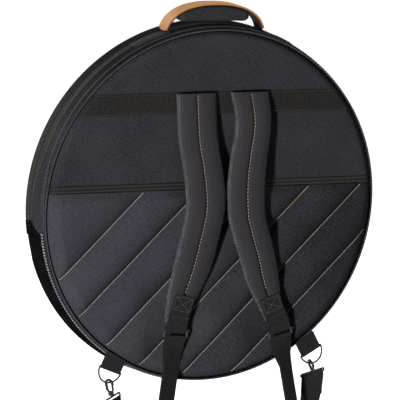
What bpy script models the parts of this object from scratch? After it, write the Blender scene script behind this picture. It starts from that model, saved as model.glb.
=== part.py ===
"""A round padded cymbal bag with a folding lid, backpack straps and a carry handle.

Metres, +Z up. The origin is the middle of the handle grip's underside, where the bag
hangs. The back panel, with the straps, faces -Y and the lid faces +Y. Positions on the
case are worked out from the centre of its round panels, which lies at DISC_Z.
"""

import math

import bmesh
import bpy
from mathutils import Matrix, Vector

# Round case
DISC_RADIUS = 0.300
CASE_DEPTH = 0.080
PANEL_THICKNESS = 0.010
PIPING_RADIUS = 0.0025
GUSSET_INSET = 0.0005
GUSSET_WALL = 0.0045
SEAM_GAP = 0.0004
FIT_GAP = 0.0003
FOLD_DROP = 0.047
DIVIDER_THICKNESS = 0.004
DIVIDER_INSET = 0.0065
DIVIDER_COUNT = 2
DIVIDER_SEWN_ANGLE = 50.0

# Back of the case, heights from the centre of the disc
BAND_TOP = 0.195
OVERLAY_THICKNESS = 0.003
POCKET_TOP = 0.031
POCKET_THICKNESS = 0.004
HEM_HEIGHT = 0.0125
HEM_THICKNESS = 0.0055

# Webbing
WEBBING_WIDTH = 0.037
WEBBING_THICKNESS = 0.0014

# Main zip around the upper rim
ZIP_OFFSET = 0.019
TAPE_WIDTH = 0.022
TAPE_THICKNESS = 0.0009
TEETH_WIDTH = 0.0064
TEETH_HEIGHT = 0.0028
TEETH_GAP = 0.0005
SLIDER_LENGTH = 0.014
SLIDER_WIDTH = 0.010
SLIDER_BASE = 0.0022
SLIDER_CLEARANCE = 0.0008
BRIDGE_LENGTH = 0.009
BRIDGE_WIDTH = 0.0035
BRIDGE_HEIGHT = 0.0034
BRIDGE_BAR = 0.0012
BRIDGE_POST = 0.0015
PULL_LENGTH = 0.027
SIDE_PULL_LENGTH = 0.019
PULL_WIDTH = 0.0084
PULL_THICKNESS = 0.0013
PULL_EYE_BAR = 0.0012
PULL_WINDOW_LENGTH = 0.0068
PULL_WINDOW_WIDTH = 0.0044
PULL_HOLE_RADIUS = 0.0017
MAIN_ZIP_MEETING_ANGLE = 25.0

# Side zip on the lower gusset
SIDE_ZIP_SETBACK = 0.0105
SIDE_ZIP_TAPE_WIDTH = 0.016
SIDE_ZIP_START_ANGLE = 190.5
SIDE_ZIP_END_ANGLE = 261.0

# Carry handle
HANDLE_GAP = 0.008
HANDLE_SPAN = 0.180
HANDLE_RISE = 0.0547
HANDLE_SETBACK = 0.004
LEATHER_WIDTH = 0.034
LEATHER_THICKNESS = 0.003
LEATHER_FOOT_HEIGHT = 0.0085
GRIP_END_GAP = 0.0275
GRIP_WIDTH = 0.030
GRIP_ROUND = 0.005
GRIP_END_TRIM = 0.0012
ROOT_GAP = 0.0008
FOOT_WIDTH = 0.003
FOOT_RISE = 0.005
PATCH_LENGTH = 0.064
PATCH_UNDERLAP = 0.004

# Shoulder straps
PAD_WIDTH = 0.068
PAD_FACE_THICKNESS = 0.009
PAD_LINING_THICKNESS = 0.0037
PAD_EDGE = 0.003
LINING_EDGE = 0.001
LINING_INSET = 0.002
STRAP_DROP = 0.385
STRAP_STANDOFF = 0.025
STRAP_WEBBING_OVERLAP = 0.047
LOCK_DROP = 0.016

# Ladder locks
LOCK_BAR_RADIUS = 0.0018
LOCK_BAR_PITCH = 0.0095
LOCK_RAIL_WIDTH = 0.003
LOCK_SIDE_GAP = 0.0008

# Rings, hooks and the lower webbing
RING_WIRE_RADIUS = 0.0015
RING_SIDE_GAP = 0.0006
RING_DEPTH = 0.023
TAB_SETBACK = 0.002
TAB_LENGTH = 0.034
HOOK_BAR = 0.0036
HOOK_THICKNESS = 0.0042
HOOK_INNER_RADIUS = 0.005
HOOK_SEAT = 0.0016
HOOK_THROAT = 0.0155
HOOK_NOSE = 0.0035
BARREL_WIDTH = 0.010
BARREL_HEIGHT = 0.0065
GATE_BAR = 0.0026
GATE_THICKNESS = 0.0034
EYE_WIRE_RADIUS = 0.0016
EYE_SIDE_GAP = 0.0006
EYE_HEIGHT = 0.008
EYE_CORNER = 0.0023
HOOK_END_HEM = 0.036
TAIL_LENGTH = 0.125
LOOP_DROP = 0.145
CUT_OVERRUN = 0.004

# Handle arch: how square its shoulders are, where 1 is an ellipse
HANDLE_SHOULDER_SHARE = 0.87

# Resolution
RIM_STEP_ANGLE = 3.0
STRAP_STEPS = 26
ROUTE_TURN_STEPS = 8

# Strap tables: share of the drop, sideways place as a share of the pad width, standoff
# share and width share
LEFT_STRAP_SHARES = [
    (0.00, -0.607, 0.00, 1.00),
    (0.20, -0.559, 0.40, 1.00),
    (0.31, -0.471, 0.72, 1.00),
    (0.40, -0.412, 0.92, 1.00),
    (0.50, -0.380, 1.00, 1.00),
    (0.656, -0.529, 0.96, 1.00),
    (0.775, -0.660, 0.80, 0.97),
    (0.884, -0.807, 0.52, 0.80),
    (0.947, -0.890, 0.40, 0.64),
    (1.00, -0.946, 0.32, 0.56),
]
RIGHT_STRAP_SHARES = [
    (0.00, 0.820, 0.00, 0.97),
    (0.10, 0.890, 0.36, 0.93),
    (0.17, 0.880, 0.50, 0.93),
    (0.26, 0.790, 0.68, 0.95),
    (0.38, 0.705, 0.90, 0.97),
    (0.53, 0.742, 1.00, 0.97),
    (0.61, 0.872, 0.98, 0.97),
    (0.71, 1.080, 0.88, 0.95),
    (0.83, 1.310, 0.66, 0.87),
    (0.92, 1.510, 0.48, 0.70),
    (0.985, 1.680, 0.38, 0.58),
    (1.025, 1.800, 0.33, 0.55),
]

# Side table: lean of the ladder lock in degrees, place of the ring's bar as shares of the
# disc radius, lean of that bar, hook direction, hook plane and eye turn
SIDES = {
    "left": {
        "table": LEFT_STRAP_SHARES,
        "lock_lean": -5.5,
        "ring_shares": (-0.571, -0.905),
        "ring_lean": -22.8,
        "hook_down": (0.241, 0.0, -0.970),
        "hook_plane": (0.5, -0.866, 0.0),
        "eye_turn": 29.0,
        "loop_share": 0.62,
    },
    "right": {
        "table": RIGHT_STRAP_SHARES,
        "lock_lean": 13.2,
        "ring_shares": (0.662, -0.868),
        "ring_lean": 29.4,
        "hook_down": (0.400, 0.550, -0.735),
        "hook_plane": (0.0, -1.0, 0.0),
        "eye_turn": 0.0,
        "loop_share": 0.45,
    },
}

# Places that follow from the sizes above
HALF_DEPTH = CASE_DEPTH / 2
BACK_FACE = -HALF_DEPTH
FRONT_FACE = HALF_DEPTH
SEAM_RADIUS = DISC_RADIUS - 2 * PIPING_RADIUS
PANEL_RADIUS = SEAM_RADIUS - SEAM_GAP
GUSSET_RADIUS = DISC_RADIUS - GUSSET_INSET
GUSSET_INNER = GUSSET_RADIUS - GUSSET_WALL
GUSSET_HALF = HALF_DEPTH - 2 * PIPING_RADIUS - SEAM_GAP
DISC_Z = -(GUSSET_RADIUS + HANDLE_GAP)
SKIN_FACE = BACK_FACE - FIT_GAP
BAND_FACE = SKIN_FACE - WEBBING_THICKNESS
TAPE_RADIUS = GUSSET_RADIUS + FIT_GAP
TAPE_OUTER = TAPE_RADIUS + TAPE_THICKNESS
TEETH_RADIUS = TAPE_RADIUS + TEETH_HEIGHT
ZIP_END_ANGLE = math.degrees(math.asin(FOLD_DROP / DISC_RADIUS))
PATCH_RADIUS = TAPE_OUTER + FIT_GAP
PATCH_OUTER = PATCH_RADIUS + WEBBING_THICKNESS
HANDLE_Y = -HANDLE_SETBACK
FOOT_LEVEL = math.sqrt(GUSSET_RADIUS ** 2 - (HANDLE_SPAN / 2) ** 2)
RING_Y = BACK_FACE + TAB_SETBACK
RING_WIDTH = WEBBING_WIDTH + 2 * RING_SIDE_GAP + 2 * RING_WIRE_RADIUS
EYE_WIDTH = WEBBING_WIDTH + 2 * EYE_SIDE_GAP + 2 * EYE_WIRE_RADIUS
CENTRE = Vector((0.0, 0.0, DISC_Z))

COLOURS = {
    "charcoal_fabric": ((0.036, 0.034, 0.041), 0.72, 0.0),
    "quilted_fabric": ((0.043, 0.041, 0.050), 0.68, 0.0),
    "black_twill": ((0.012, 0.012, 0.012), 0.80, 0.0),
    "webbing": ((0.019, 0.019, 0.018), 0.75, 0.0),
    "anchor_webbing": ((0.020, 0.019, 0.017), 0.70, 0.0),
    "piping": ((0.050, 0.050, 0.055), 0.60, 0.0),
    "lining": ((0.060, 0.060, 0.066), 0.85, 0.0),
    "mesh_lining": ((0.018, 0.018, 0.019), 0.85, 0.0),
    "zip_tape": ((0.055, 0.058, 0.055), 0.70, 0.0),
    "tan_leather": ((0.708, 0.351, 0.138), 0.50, 0.0),
    "grip_fabric": ((0.032, 0.034, 0.039), 0.80, 0.0),
    "black_metal": ((0.018, 0.018, 0.019), 0.38, 0.9),
    "black_plastic": ((0.020, 0.020, 0.021), 0.45, 0.0),
}


def clear_scene():
    """Remove whatever the open file holds."""
    for obj in list(bpy.data.objects):
        bpy.data.objects.remove(obj, do_unlink=True)


def material(name):
    """Return the named material, made once."""
    found = bpy.data.materials.get(name)
    if found:
        return found
    colour, roughness, metallic = COLOURS[name]
    made = bpy.data.materials.new(name)
    made.use_nodes = True
    shader = made.node_tree.nodes["Principled BSDF"]
    shader.inputs["Base Color"].default_value = (*colour, 1.0)
    shader.inputs["Roughness"].default_value = roughness
    shader.inputs["Metallic"].default_value = metallic
    return made


def add_object(name, bm, finish, origin=CENTRE):
    """Turn world-space bmesh geometry into an object whose origin is given."""
    bmesh.ops.recalc_face_normals(bm, faces=bm.faces)
    bmesh.ops.translate(bm, verts=bm.verts, vec=-Vector(origin))
    mesh = bpy.data.meshes.new(name)
    bm.to_mesh(mesh)
    bm.free()
    mesh.materials.append(material(finish))
    mesh.shade_smooth()
    mesh.set_sharp_from_angle(angle=math.radians(35.0))
    obj = bpy.data.objects.new(name, mesh)
    obj.location = origin
    bpy.context.collection.objects.link(obj)
    return obj


def polar(radius, angle, y):
    """A point on the rim, its angle in degrees from +X towards +Z."""
    turn = math.radians(angle)
    return CENTRE + Vector((radius * math.cos(turn), y, radius * math.sin(turn)))


def arc_angles(start, end):
    """Angles from start to end, no further apart than the rim step."""
    count = max(1, math.ceil(abs(end - start) / RIM_STEP_ANGLE))
    return [start + (end - start) * i / count for i in range(count + 1)]


def segment_outline(radius, low, high):
    """Outline of the part of a disc that lies between two heights."""
    bottom = math.degrees(math.asin(max(-1.0, low / radius)))
    top = math.degrees(math.asin(min(1.0, high / radius)))
    right = arc_angles(bottom, top)
    left = [180.0 - angle for angle in reversed(right)]
    angles = right + left
    points = [polar(radius, angle, 0.0) for angle in angles]
    kept = []
    for point in points:
        if all((point - other).length > FIT_GAP for other in kept):
            kept.append(point)
    return kept


def prism(name, outline, low, high, finish, origin=CENTRE):
    """Extrude an outline in the XZ plane from one Y to another."""
    bm = bmesh.new()
    face = bm.faces.new([bm.verts.new((p.x, low, p.z)) for p in outline])
    made = bmesh.ops.extrude_face_region(bm, geom=[face])
    moved = [item for item in made["geom"] if isinstance(item, bmesh.types.BMVert)]
    bmesh.ops.translate(bm, verts=moved, vec=(0.0, high - low, 0.0))
    return add_object(name, bm, finish, origin)


def rim_band(name, profile, start, end, finish, origin=CENTRE):
    """Spin a profile of (radius, y) points about the disc's axis."""
    steps = max(1, math.ceil((end - start) / RIM_STEP_ANGLE))
    bm = bmesh.new()
    face = bm.faces.new([bm.verts.new(polar(r, start, y)) for r, y in profile])
    bmesh.ops.spin(
        bm, geom=[face], cent=CENTRE, axis=(0.0, -1.0, 0.0),
        angle=math.radians(end - start), steps=steps, use_duplicate=False,
    )
    return add_object(name, bm, finish, origin)


def rim_ring(name, radius, y, wire, finish):
    """A closed ring of round cord about the disc's axis."""
    count = math.ceil(360.0 / RIM_STEP_ANGLE)
    points = [polar(radius, 360.0 * i / count, y) for i in range(count)]
    return tube(name, points, wire, finish, cyclic=True)


def tube(name, points, wire, finish, cyclic=False, origin=CENTRE):
    """Round wire or cord along a row of points."""
    curve = bpy.data.curves.new(name, "CURVE")
    curve.dimensions = "3D"
    curve.bevel_depth = wire
    curve.bevel_resolution = 2
    curve.use_fill_caps = True
    spline = curve.splines.new("POLY")
    spline.points.add(len(points) - 1)
    for knot, point in zip(spline.points, points):
        place = point - Vector(origin)
        knot.co = (*place, 1.0)
    spline.use_cyclic_u = cyclic
    curve.materials.append(material(finish))
    obj = bpy.data.objects.new(name, curve)
    obj.location = origin
    bpy.context.collection.objects.link(obj)
    return obj


def loft(name, sections, finish, origin=CENTRE):
    """Extrude a row of sections with equal point counts, closed by its two end caps."""
    bm = bmesh.new()
    rows = [[bm.verts.new(point) for point in section] for section in sections]
    bm.faces.new(rows[0])
    bm.faces.new(rows[-1])
    for before, after in zip(rows, rows[1:]):
        for i, vert in enumerate(before):
            bm.faces.new([before[i - 1], vert, after[i], after[i - 1]])
    return add_object(name, bm, finish, origin)


def ribbon(name, route, finish, widths=None, origin=CENTRE):
    """Flat webbing along a route of (point, direction across) pairs."""
    sections = []
    points = [point for point, across in route]
    widths = widths or [WEBBING_WIDTH] * len(route)
    for i, (point, across) in enumerate(route):
        before = points[max(0, i - 1)]
        after = points[min(len(points) - 1, i + 1)]
        along = (after - before).normalized()
        side = (across - across.dot(along) * along).normalized()
        face = along.cross(side)
        half = side * widths[i] / 2
        thick = face * WEBBING_THICKNESS / 2
        sections.append([
            point - half - thick, point + half - thick,
            point + half + thick, point - half + thick,
        ])
    return loft(name, sections, finish, origin)


def subtract(obj, cutter):
    """Cut one object by another, which stays as a hidden guide."""
    cutter.hide_render = True
    cutter.display_type = "WIRE"
    change = obj.modifiers.new("cut", "BOOLEAN")
    change.operation = "DIFFERENCE"
    change.solver = "EXACT"
    change.object = cutter


def smooth_row(table, share):
    """Read a table at a share, smoothly between its rows."""
    last = len(table) - 1
    i = 0
    while i < last - 1 and share > table[i + 1][0]:
        i += 1
    rows = [table[max(0, i - 1)], table[i], table[i + 1], table[min(last, i + 2)]]
    span = rows[2][0] - rows[1][0]
    t = (share - rows[1][0]) / span
    result = []
    for column in range(1, len(table[0])):
        slopes = []
        for low, high in ((rows[0], rows[2]), (rows[1], rows[3])):
            slopes.append((high[column] - low[column]) / (high[0] - low[0]) * span)
        start, end = rows[1][column], rows[2][column]
        value = (
            (2 * t ** 3 - 3 * t ** 2 + 1) * start + (t ** 3 - 2 * t ** 2 + t) * slopes[0]
            + (3 * t ** 2 - 2 * t ** 3) * end + (t ** 3 - t ** 2) * slopes[1]
        )
        result.append(value)
    return result


# Case


def make_panels():
    """The padded round back, the lower front and the lid."""
    inner_back = BACK_FACE + PANEL_THICKNESS
    inner_front = FRONT_FACE - PANEL_THICKNESS
    full = segment_outline(PANEL_RADIUS, -PANEL_RADIUS, PANEL_RADIUS)
    prism("back_panel", full, BACK_FACE, inner_back, "charcoal_fabric")
    fold = -FOLD_DROP
    lower = segment_outline(PANEL_RADIUS, -PANEL_RADIUS, fold - SEAM_GAP / 2)
    prism("front_lower_panel", lower, inner_front, FRONT_FACE, "quilted_fabric")
    upper = segment_outline(PANEL_RADIUS, fold + SEAM_GAP / 2, PANEL_RADIUS)
    lid_hinge = CENTRE + Vector((0.0, FRONT_FACE, fold))
    prism("lid_panel", upper, inner_front, FRONT_FACE, "charcoal_fabric", lid_hinge)


def make_back_skins():
    """Plain upper skin, strap anchor band, quilted pocket panel and its hem."""
    skin = segment_outline(PANEL_RADIUS, BAND_TOP + FIT_GAP, PANEL_RADIUS)
    prism("back_upper_skin", skin, SKIN_FACE - OVERLAY_THICKNESS, SKIN_FACE, "charcoal_fabric")
    band = segment_outline(PANEL_RADIUS, BAND_TOP - WEBBING_WIDTH, BAND_TOP)
    prism("strap_anchor_band", band, BAND_FACE, SKIN_FACE, "anchor_webbing")
    pocket = segment_outline(PANEL_RADIUS, -PANEL_RADIUS, POCKET_TOP)
    prism("back_pocket_panel", pocket, SKIN_FACE - POCKET_THICKNESS, SKIN_FACE, "quilted_fabric")
    hem_low = POCKET_TOP + FIT_GAP
    hem = segment_outline(PANEL_RADIUS, hem_low, hem_low + HEM_HEIGHT)
    prism("back_pocket_hem", hem, SKIN_FACE - HEM_THICKNESS, SKIN_FACE, "webbing")


def flat_profile(inner, outer, low, high):
    """A rectangular rim profile."""
    return [(inner, low), (outer, low), (outer, high), (inner, high)]


def make_gussets():
    """The rim's walls: a rear strip and a lid strip above the fold, one wall below it."""
    start = -ZIP_END_ANGLE
    end = 180.0 + ZIP_END_ANGLE
    gap = math.degrees(SEAM_GAP / DISC_RADIUS)
    rear_edge = ZIP_OFFSET - TEETH_WIDTH / 2 - FIT_GAP
    front_edge = ZIP_OFFSET + TEETH_WIDTH / 2 + FIT_GAP
    rear = flat_profile(GUSSET_INNER, GUSSET_RADIUS, -GUSSET_HALF, rear_edge)
    rim_band("rear_gusset", rear, start, end, "charcoal_fabric")
    front = flat_profile(GUSSET_INNER, GUSSET_RADIUS, front_edge, GUSSET_HALF)
    lid_hinge = CENTRE + Vector((0.0, FRONT_FACE, -FOLD_DROP))
    rim_band("lid_gusset", front, start, end, "charcoal_fabric", lid_hinge)
    lower = flat_profile(GUSSET_INNER, GUSSET_RADIUS, -GUSSET_HALF, GUSSET_HALF)
    rim_band("lower_gusset", lower, end + gap, 360.0 + start - gap, "black_twill")


def make_piping():
    """Corded seams: one whole ring behind, two arcs in front."""
    radius = DISC_RADIUS - PIPING_RADIUS
    back_y = BACK_FACE + PIPING_RADIUS
    rim_ring("back_piping", radius, back_y, PIPING_RADIUS, "piping")
    gap = math.degrees(SEAM_GAP / DISC_RADIUS)
    start = -ZIP_END_ANGLE
    end = 180.0 + ZIP_END_ANGLE
    arcs = {
        "front_lower_piping": (end + gap, 360.0 + start - gap),
        "lid_piping": (start + gap, end - gap),
    }
    for name, (low, high) in arcs.items():
        points = [polar(radius, a, FRONT_FACE - PIPING_RADIUS) for a in arc_angles(low, high)]
        tube(name, points, PIPING_RADIUS, "piping")


def make_dividers():
    """Padded leaves sewn to the gusset along the bottom, free elsewhere."""
    free = GUSSET_INNER - DIVIDER_INSET
    sewn = GUSSET_INNER - SEAM_GAP
    space = CASE_DEPTH - 2 * PANEL_THICKNESS - DIVIDER_COUNT * DIVIDER_THICKNESS
    pitch = space / (DIVIDER_COUNT + 1) + DIVIDER_THICKNESS
    names = ["rear_divider", "front_divider"]
    low_angle = 270.0 - DIVIDER_SEWN_ANGLE
    high_angle = 270.0 + DIVIDER_SEWN_ANGLE
    outline = [polar(sewn, a, 0.0) for a in arc_angles(low_angle, high_angle)]
    outline += [polar(free, a, 0.0) for a in arc_angles(high_angle, low_angle + 360.0)]
    for i, name in enumerate(names):
        low = BACK_FACE + PANEL_THICKNESS - DIVIDER_THICKNESS + pitch * (i + 1)
        prism(name, outline, low, low + DIVIDER_THICKNESS, "lining")


# Zips


def stringer_profile(side):
    """Tape and teeth on one side of the main zip, +1 for the lid's side."""
    inner_tooth = ZIP_OFFSET + side * TEETH_GAP / 2
    outer_tooth = ZIP_OFFSET + side * TEETH_WIDTH / 2
    tape_edge = ZIP_OFFSET + side * TAPE_WIDTH / 2
    return [
        (TAPE_RADIUS, inner_tooth), (TEETH_RADIUS, inner_tooth), (TEETH_RADIUS, outer_tooth),
        (TAPE_OUTER, outer_tooth), (TAPE_OUTER, tape_edge), (TAPE_RADIUS, tape_edge),
    ]


def make_zip_tapes():
    """Two stringers of the main zip and the closed chain of the side zip."""
    start = -ZIP_END_ANGLE
    end = 180.0 + ZIP_END_ANGLE
    lid_hinge = CENTRE + Vector((0.0, FRONT_FACE, -FOLD_DROP))
    rim_band("main_zip_rear_stringer", stringer_profile(-1), start, end, "zip_tape")
    rim_band("main_zip_lid_stringer", stringer_profile(1), start, end, "zip_tape", lid_hinge)
    chain_y = BACK_FACE + SIDE_ZIP_SETBACK
    low, high = chain_y - TEETH_WIDTH / 2, chain_y + TEETH_WIDTH / 2
    tape_low = -GUSSET_HALF
    tape_high = tape_low + SIDE_ZIP_TAPE_WIDTH
    profile = [
        (TAPE_RADIUS, tape_low), (TAPE_OUTER, tape_low), (TAPE_OUTER, low),
        (TEETH_RADIUS, low), (TEETH_RADIUS, high), (TAPE_OUTER, high),
        (TAPE_OUTER, tape_high), (TAPE_RADIUS, tape_high),
    ]
    rim_band("side_zip_stringer", profile, SIDE_ZIP_START_ANGLE, SIDE_ZIP_END_ANGLE, "zip_tape")


def box_verts(bm, low, high):
    """Add a box between two corners."""
    size = Vector(high) - Vector(low)
    middle = (Vector(high) + Vector(low)) / 2
    place = Matrix.Translation(middle) @ Matrix.Diagonal((*size, 1.0))
    return bmesh.ops.create_cube(bm, size=1.0, matrix=place)["verts"]


def frame_outline(name, outer, inner, thickness, finish):
    """A flat plate with a window: local X along, Y across, from Z zero up."""
    bm = bmesh.new()
    loops = []
    for height in (0.0, thickness):
        loops.append([bm.verts.new((x, y, height)) for x, y in outer])
        loops.append([bm.verts.new((x, y, height)) for x, y in inner])
    count = len(outer)
    for i in range(count):
        j = (i + 1) % count
        low_out, low_in, high_out, high_in = loops
        bm.faces.new([low_out[i], low_out[j], low_in[j], low_in[i]])
        bm.faces.new([high_out[i], high_in[i], high_in[j], high_out[j]])
        bm.faces.new([low_out[i], high_out[i], high_out[j], low_out[j]])
        bm.faces.new([low_in[i], low_in[j], high_in[j], high_in[i]])
    return add_object(name, bm, finish, Vector((0.0, 0.0, 0.0)))


def slider_place(angle, y, turn=1):
    """Frame on the rim: local X along the zip, Y along the bag's Y, Z outward."""
    base = polar(TEETH_RADIUS + SLIDER_CLEARANCE, angle, y)
    turned = math.radians(angle)
    outward = Vector((math.cos(turned), 0.0, math.sin(turned)))
    along = Vector((-math.sin(turned), 0.0, math.cos(turned))) * turn
    across = outward.cross(along)
    return Matrix((
        (along.x, across.x, outward.x, base.x),
        (along.y, across.y, outward.y, base.y),
        (along.z, across.z, outward.z, base.z),
        (0.0, 0.0, 0.0, 1.0),
    ))


def pull_axis_height():
    """Height of the pull's eye bar above the slider's underside."""
    return SLIDER_BASE + FIT_GAP + PULL_THICKNESS / 2


def pull_axis_shift():
    """How far behind the slider's middle the pull's eye bar lies."""
    return BRIDGE_LENGTH / 2 - BRIDGE_POST - PULL_EYE_BAR


def make_slider(name, place):
    """A zip slider with the bridge that holds its pull."""
    bm = bmesh.new()
    half = SLIDER_LENGTH / 2
    wide = SLIDER_WIDTH / 2
    top = SLIDER_BASE + BRIDGE_HEIGHT
    arch = BRIDGE_LENGTH / 2
    inner = arch - BRIDGE_POST
    side = [
        (-half, 0.0), (half, 0.0), (half, SLIDER_BASE), (arch, SLIDER_BASE), (arch, top),
        (-arch, top), (-arch, SLIDER_BASE), (-half, SLIDER_BASE),
    ]
    base = [(x, z) for x, z in side if z <= SLIDER_BASE]
    face = bm.faces.new([bm.verts.new((x, -wide, z)) for x, z in base])
    made = bmesh.ops.extrude_face_region(bm, geom=[face])
    moved = [item for item in made["geom"] if isinstance(item, bmesh.types.BMVert)]
    bmesh.ops.translate(bm, verts=moved, vec=(0.0, SLIDER_WIDTH, 0.0))
    slider = add_object(name, bm, "black_metal", Vector((0.0, 0.0, 0.0)))
    bridge = bmesh.new()
    overlap = SLIDER_BASE / 2
    box_verts(bridge, (-arch, -BRIDGE_WIDTH / 2, overlap), (arch, BRIDGE_WIDTH / 2, top))
    guide = add_object(name + "_bridge", bridge, "black_metal", Vector((0.0, 0.0, 0.0)))
    hole = bmesh.new()
    box_verts(hole, (-inner, -wide, SLIDER_BASE), (inner, wide, top - BRIDGE_BAR))
    window = add_object(name + "_window", hole, "black_metal", Vector((0.0, 0.0, 0.0)))
    join = slider.modifiers.new("bridge", "BOOLEAN")
    join.operation = "UNION"
    join.solver = "EXACT"
    join.object = guide
    for helper in (guide, window):
        helper.hide_render = True
        helper.display_type = "WIRE"
        helper.matrix_world = place
    cut = slider.modifiers.new("window", "BOOLEAN")
    cut.operation = "DIFFERENCE"
    cut.solver = "EXACT"
    cut.object = window
    slider.matrix_world = place


def make_pull(name, place, length, lift):
    """A flat pull with a window round the bridge and a hole near its tip."""
    wide = PULL_WIDTH / 2
    slot = PULL_WINDOW_WIDTH / 2
    bar = PULL_EYE_BAR / 2
    far = length
    corner = PULL_EYE_BAR
    window = bar + PULL_WINDOW_LENGTH
    outer = [
        (-bar, -wide), (far / 2, -wide), (far - corner, -wide), (far, -wide + corner),
        (far, wide - corner), (far - corner, wide), (far / 2, wide), (-bar, wide),
    ]
    inner = [
        (bar, -slot), (window / 2, -slot), (window - bar, -slot), (window, -slot + bar),
        (window, slot - bar), (window - bar, slot), (window / 2, slot), (bar, slot),
    ]
    pull = frame_outline(name, outer, inner, PULL_THICKNESS, "black_metal")
    pull.data.transform(Matrix.Translation((0.0, 0.0, -PULL_THICKNESS / 2)))
    axis = Matrix.Translation((-pull_axis_shift(), 0.0, pull_axis_height()))
    axis = axis @ Matrix.Rotation(math.radians(-lift), 4, "Y")
    pull.matrix_world = place @ axis
    hole = bmesh.new()
    bmesh.ops.create_cone(
        hole, cap_ends=True, segments=12, radius1=PULL_HOLE_RADIUS, radius2=PULL_HOLE_RADIUS,
        depth=CUT_OVERRUN,
    )
    cutter = add_object(name + "_hole", hole, "black_metal", Vector((0.0, 0.0, 0.0)))
    near_tip = length - 2 * PULL_HOLE_RADIUS - PULL_EYE_BAR
    cutter.matrix_world = place @ axis @ Matrix.Translation((near_tip, 0.0, 0.0))
    subtract(pull, cutter)


def make_sliders():
    """Two sliders parked together on the main zip, one at the side zip's lower end."""
    apart = math.degrees((SLIDER_LENGTH / 2 + SEAM_GAP) / TEETH_RADIUS)
    low = slider_place(MAIN_ZIP_MEETING_ANGLE - apart, ZIP_OFFSET, -1)
    high = slider_place(MAIN_ZIP_MEETING_ANGLE + apart, ZIP_OFFSET, 1)
    parked = SIDE_ZIP_END_ANGLE - 2 * apart
    side = slider_place(parked, BACK_FACE + SIDE_ZIP_SETBACK, 1)
    make_slider("main_zip_slider_low", low)
    make_pull("main_zip_pull_low", low, PULL_LENGTH, 0.0)
    make_slider("main_zip_slider_high", high)
    make_pull("main_zip_pull_high", high, PULL_LENGTH, 0.0)
    make_slider("side_zip_slider", side)
    make_pull("side_zip_pull", side, SIDE_PULL_LENGTH, parked - 180.0)


# Carry handle


def arch_point(inset, turn):
    """A point inside the handle's arch, turn in degrees from +X."""
    angle = math.radians(turn)
    level = math.copysign(abs(math.cos(angle)) ** HANDLE_SHOULDER_SHARE, math.cos(angle))
    rise = abs(math.sin(angle)) ** HANDLE_SHOULDER_SHARE
    x = (HANDLE_SPAN / 2 - inset) * level
    return CENTRE + Vector((x, 0.0, FOOT_LEVEL + (HANDLE_RISE - inset) * rise))


def turn_at_height(inset, height):
    """The arch's turn at a height above the foot level."""
    share = height / (HANDLE_RISE - inset)
    return math.degrees(math.asin(share ** (1 / HANDLE_SHOULDER_SHARE)))


def turn_at_reach(inset, reach):
    """The arch's turn at a distance from its middle."""
    share = reach / (HANDLE_SPAN / 2 - inset)
    return math.degrees(math.acos(share ** (1 / HANDLE_SHOULDER_SHARE)))


def arch_band(name, outer, inner, foot, finish):
    """A strap bent over the arch, its feet cut at one height."""
    start = turn_at_height(outer, foot)
    turns = [start + (180.0 - 2 * start) * i / 36 for i in range(37)]
    points = [arch_point(outer, turn) for turn in turns]
    points += [arch_point(inner, turn) for turn in reversed(turns)]
    low = HANDLE_Y - LEATHER_WIDTH / 2
    return prism(name, points, low, low + LEATHER_WIDTH, finish, handle_axis())


def make_handle():
    """Leather over webbing over a padded grip, with patches sewn over the feet."""
    arch_band("handle_leather", 0.0, LEATHER_THICKNESS, LEATHER_FOOT_HEIGHT, "tan_leather")
    make_handle_webbing()
    make_grip()
    make_patches()


def root_angle():
    """Rim angle at which the right foot of the handle's webbing stands."""
    inset = LEATHER_THICKNESS + FIT_GAP + WEBBING_THICKNESS / 2
    return math.degrees(math.acos((HANDLE_SPAN / 2 - inset) / PATCH_OUTER))


def handle_axis():
    """The line on the patches about which the handle swings."""
    root = polar(PATCH_OUTER + ROOT_GAP, root_angle(), HANDLE_Y)
    return Vector((0.0, root.y, root.z))


def make_handle_webbing():
    """Webbing under the leather, narrowed at both feet so that it can lean."""
    inset = LEATHER_THICKNESS + FIT_GAP + WEBBING_THICKNESS / 2
    across = Vector((0.0, 1.0, 0.0))
    full = LEATHER_WIDTH - 2 * TAPE_THICKNESS
    axis = handle_axis()
    low = axis.z - DISC_Z - FOOT_LEVEL
    heights = [low, low + FOOT_RISE, low + 2 * FOOT_RISE]
    turns = [turn_at_height(inset, height) for height in heights]
    first = turns[-1]
    turns += [first + (180.0 - 2 * first) * i / 28 for i in range(1, 28)]
    turns += [180.0 - turn for turn in reversed(turns[:3])]
    widths = [FOOT_WIDTH] + [full] * (len(turns) - 2) + [FOOT_WIDTH]
    offset = Vector((0.0, HANDLE_Y, 0.0))
    route = [(arch_point(inset, turn) + offset, across) for turn in turns]
    ribbon("handle_webbing", route, "webbing", widths, axis)


def make_grip():
    """The padded grip: arched above, flat below."""
    inset = LEATHER_THICKNESS + WEBBING_THICKNESS + 2 * FIT_GAP
    half = HANDLE_SPAN / 2 - GRIP_END_GAP
    end = turn_at_reach(inset, half)
    turns = [end + (180.0 - 2 * end) * i / 16 for i in range(17)]
    top = [arch_point(inset, turn) for turn in turns]
    low_half = half - GRIP_ROUND
    bottom_z = 0.0
    side_z = (top[0].z + bottom_z) / 2
    bottom = [
        Vector((-half - GRIP_END_TRIM, 0.0, side_z)), Vector((-low_half, 0.0, bottom_z)),
        Vector((low_half, 0.0, bottom_z)), Vector((half + GRIP_END_TRIM, 0.0, side_z)),
    ]
    low = HANDLE_Y - GRIP_WIDTH / 2
    high = low + GRIP_WIDTH
    grip = prism("handle_grip", top + bottom, low, high, "grip_fabric", handle_axis())
    round_over = grip.modifiers.new("round", "BEVEL")
    round_over.width = GRIP_ROUND
    round_over.segments = 2
    round_over.limit_method = "ANGLE"
    round_over.angle_limit = math.radians(60.0)
    return grip


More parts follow.
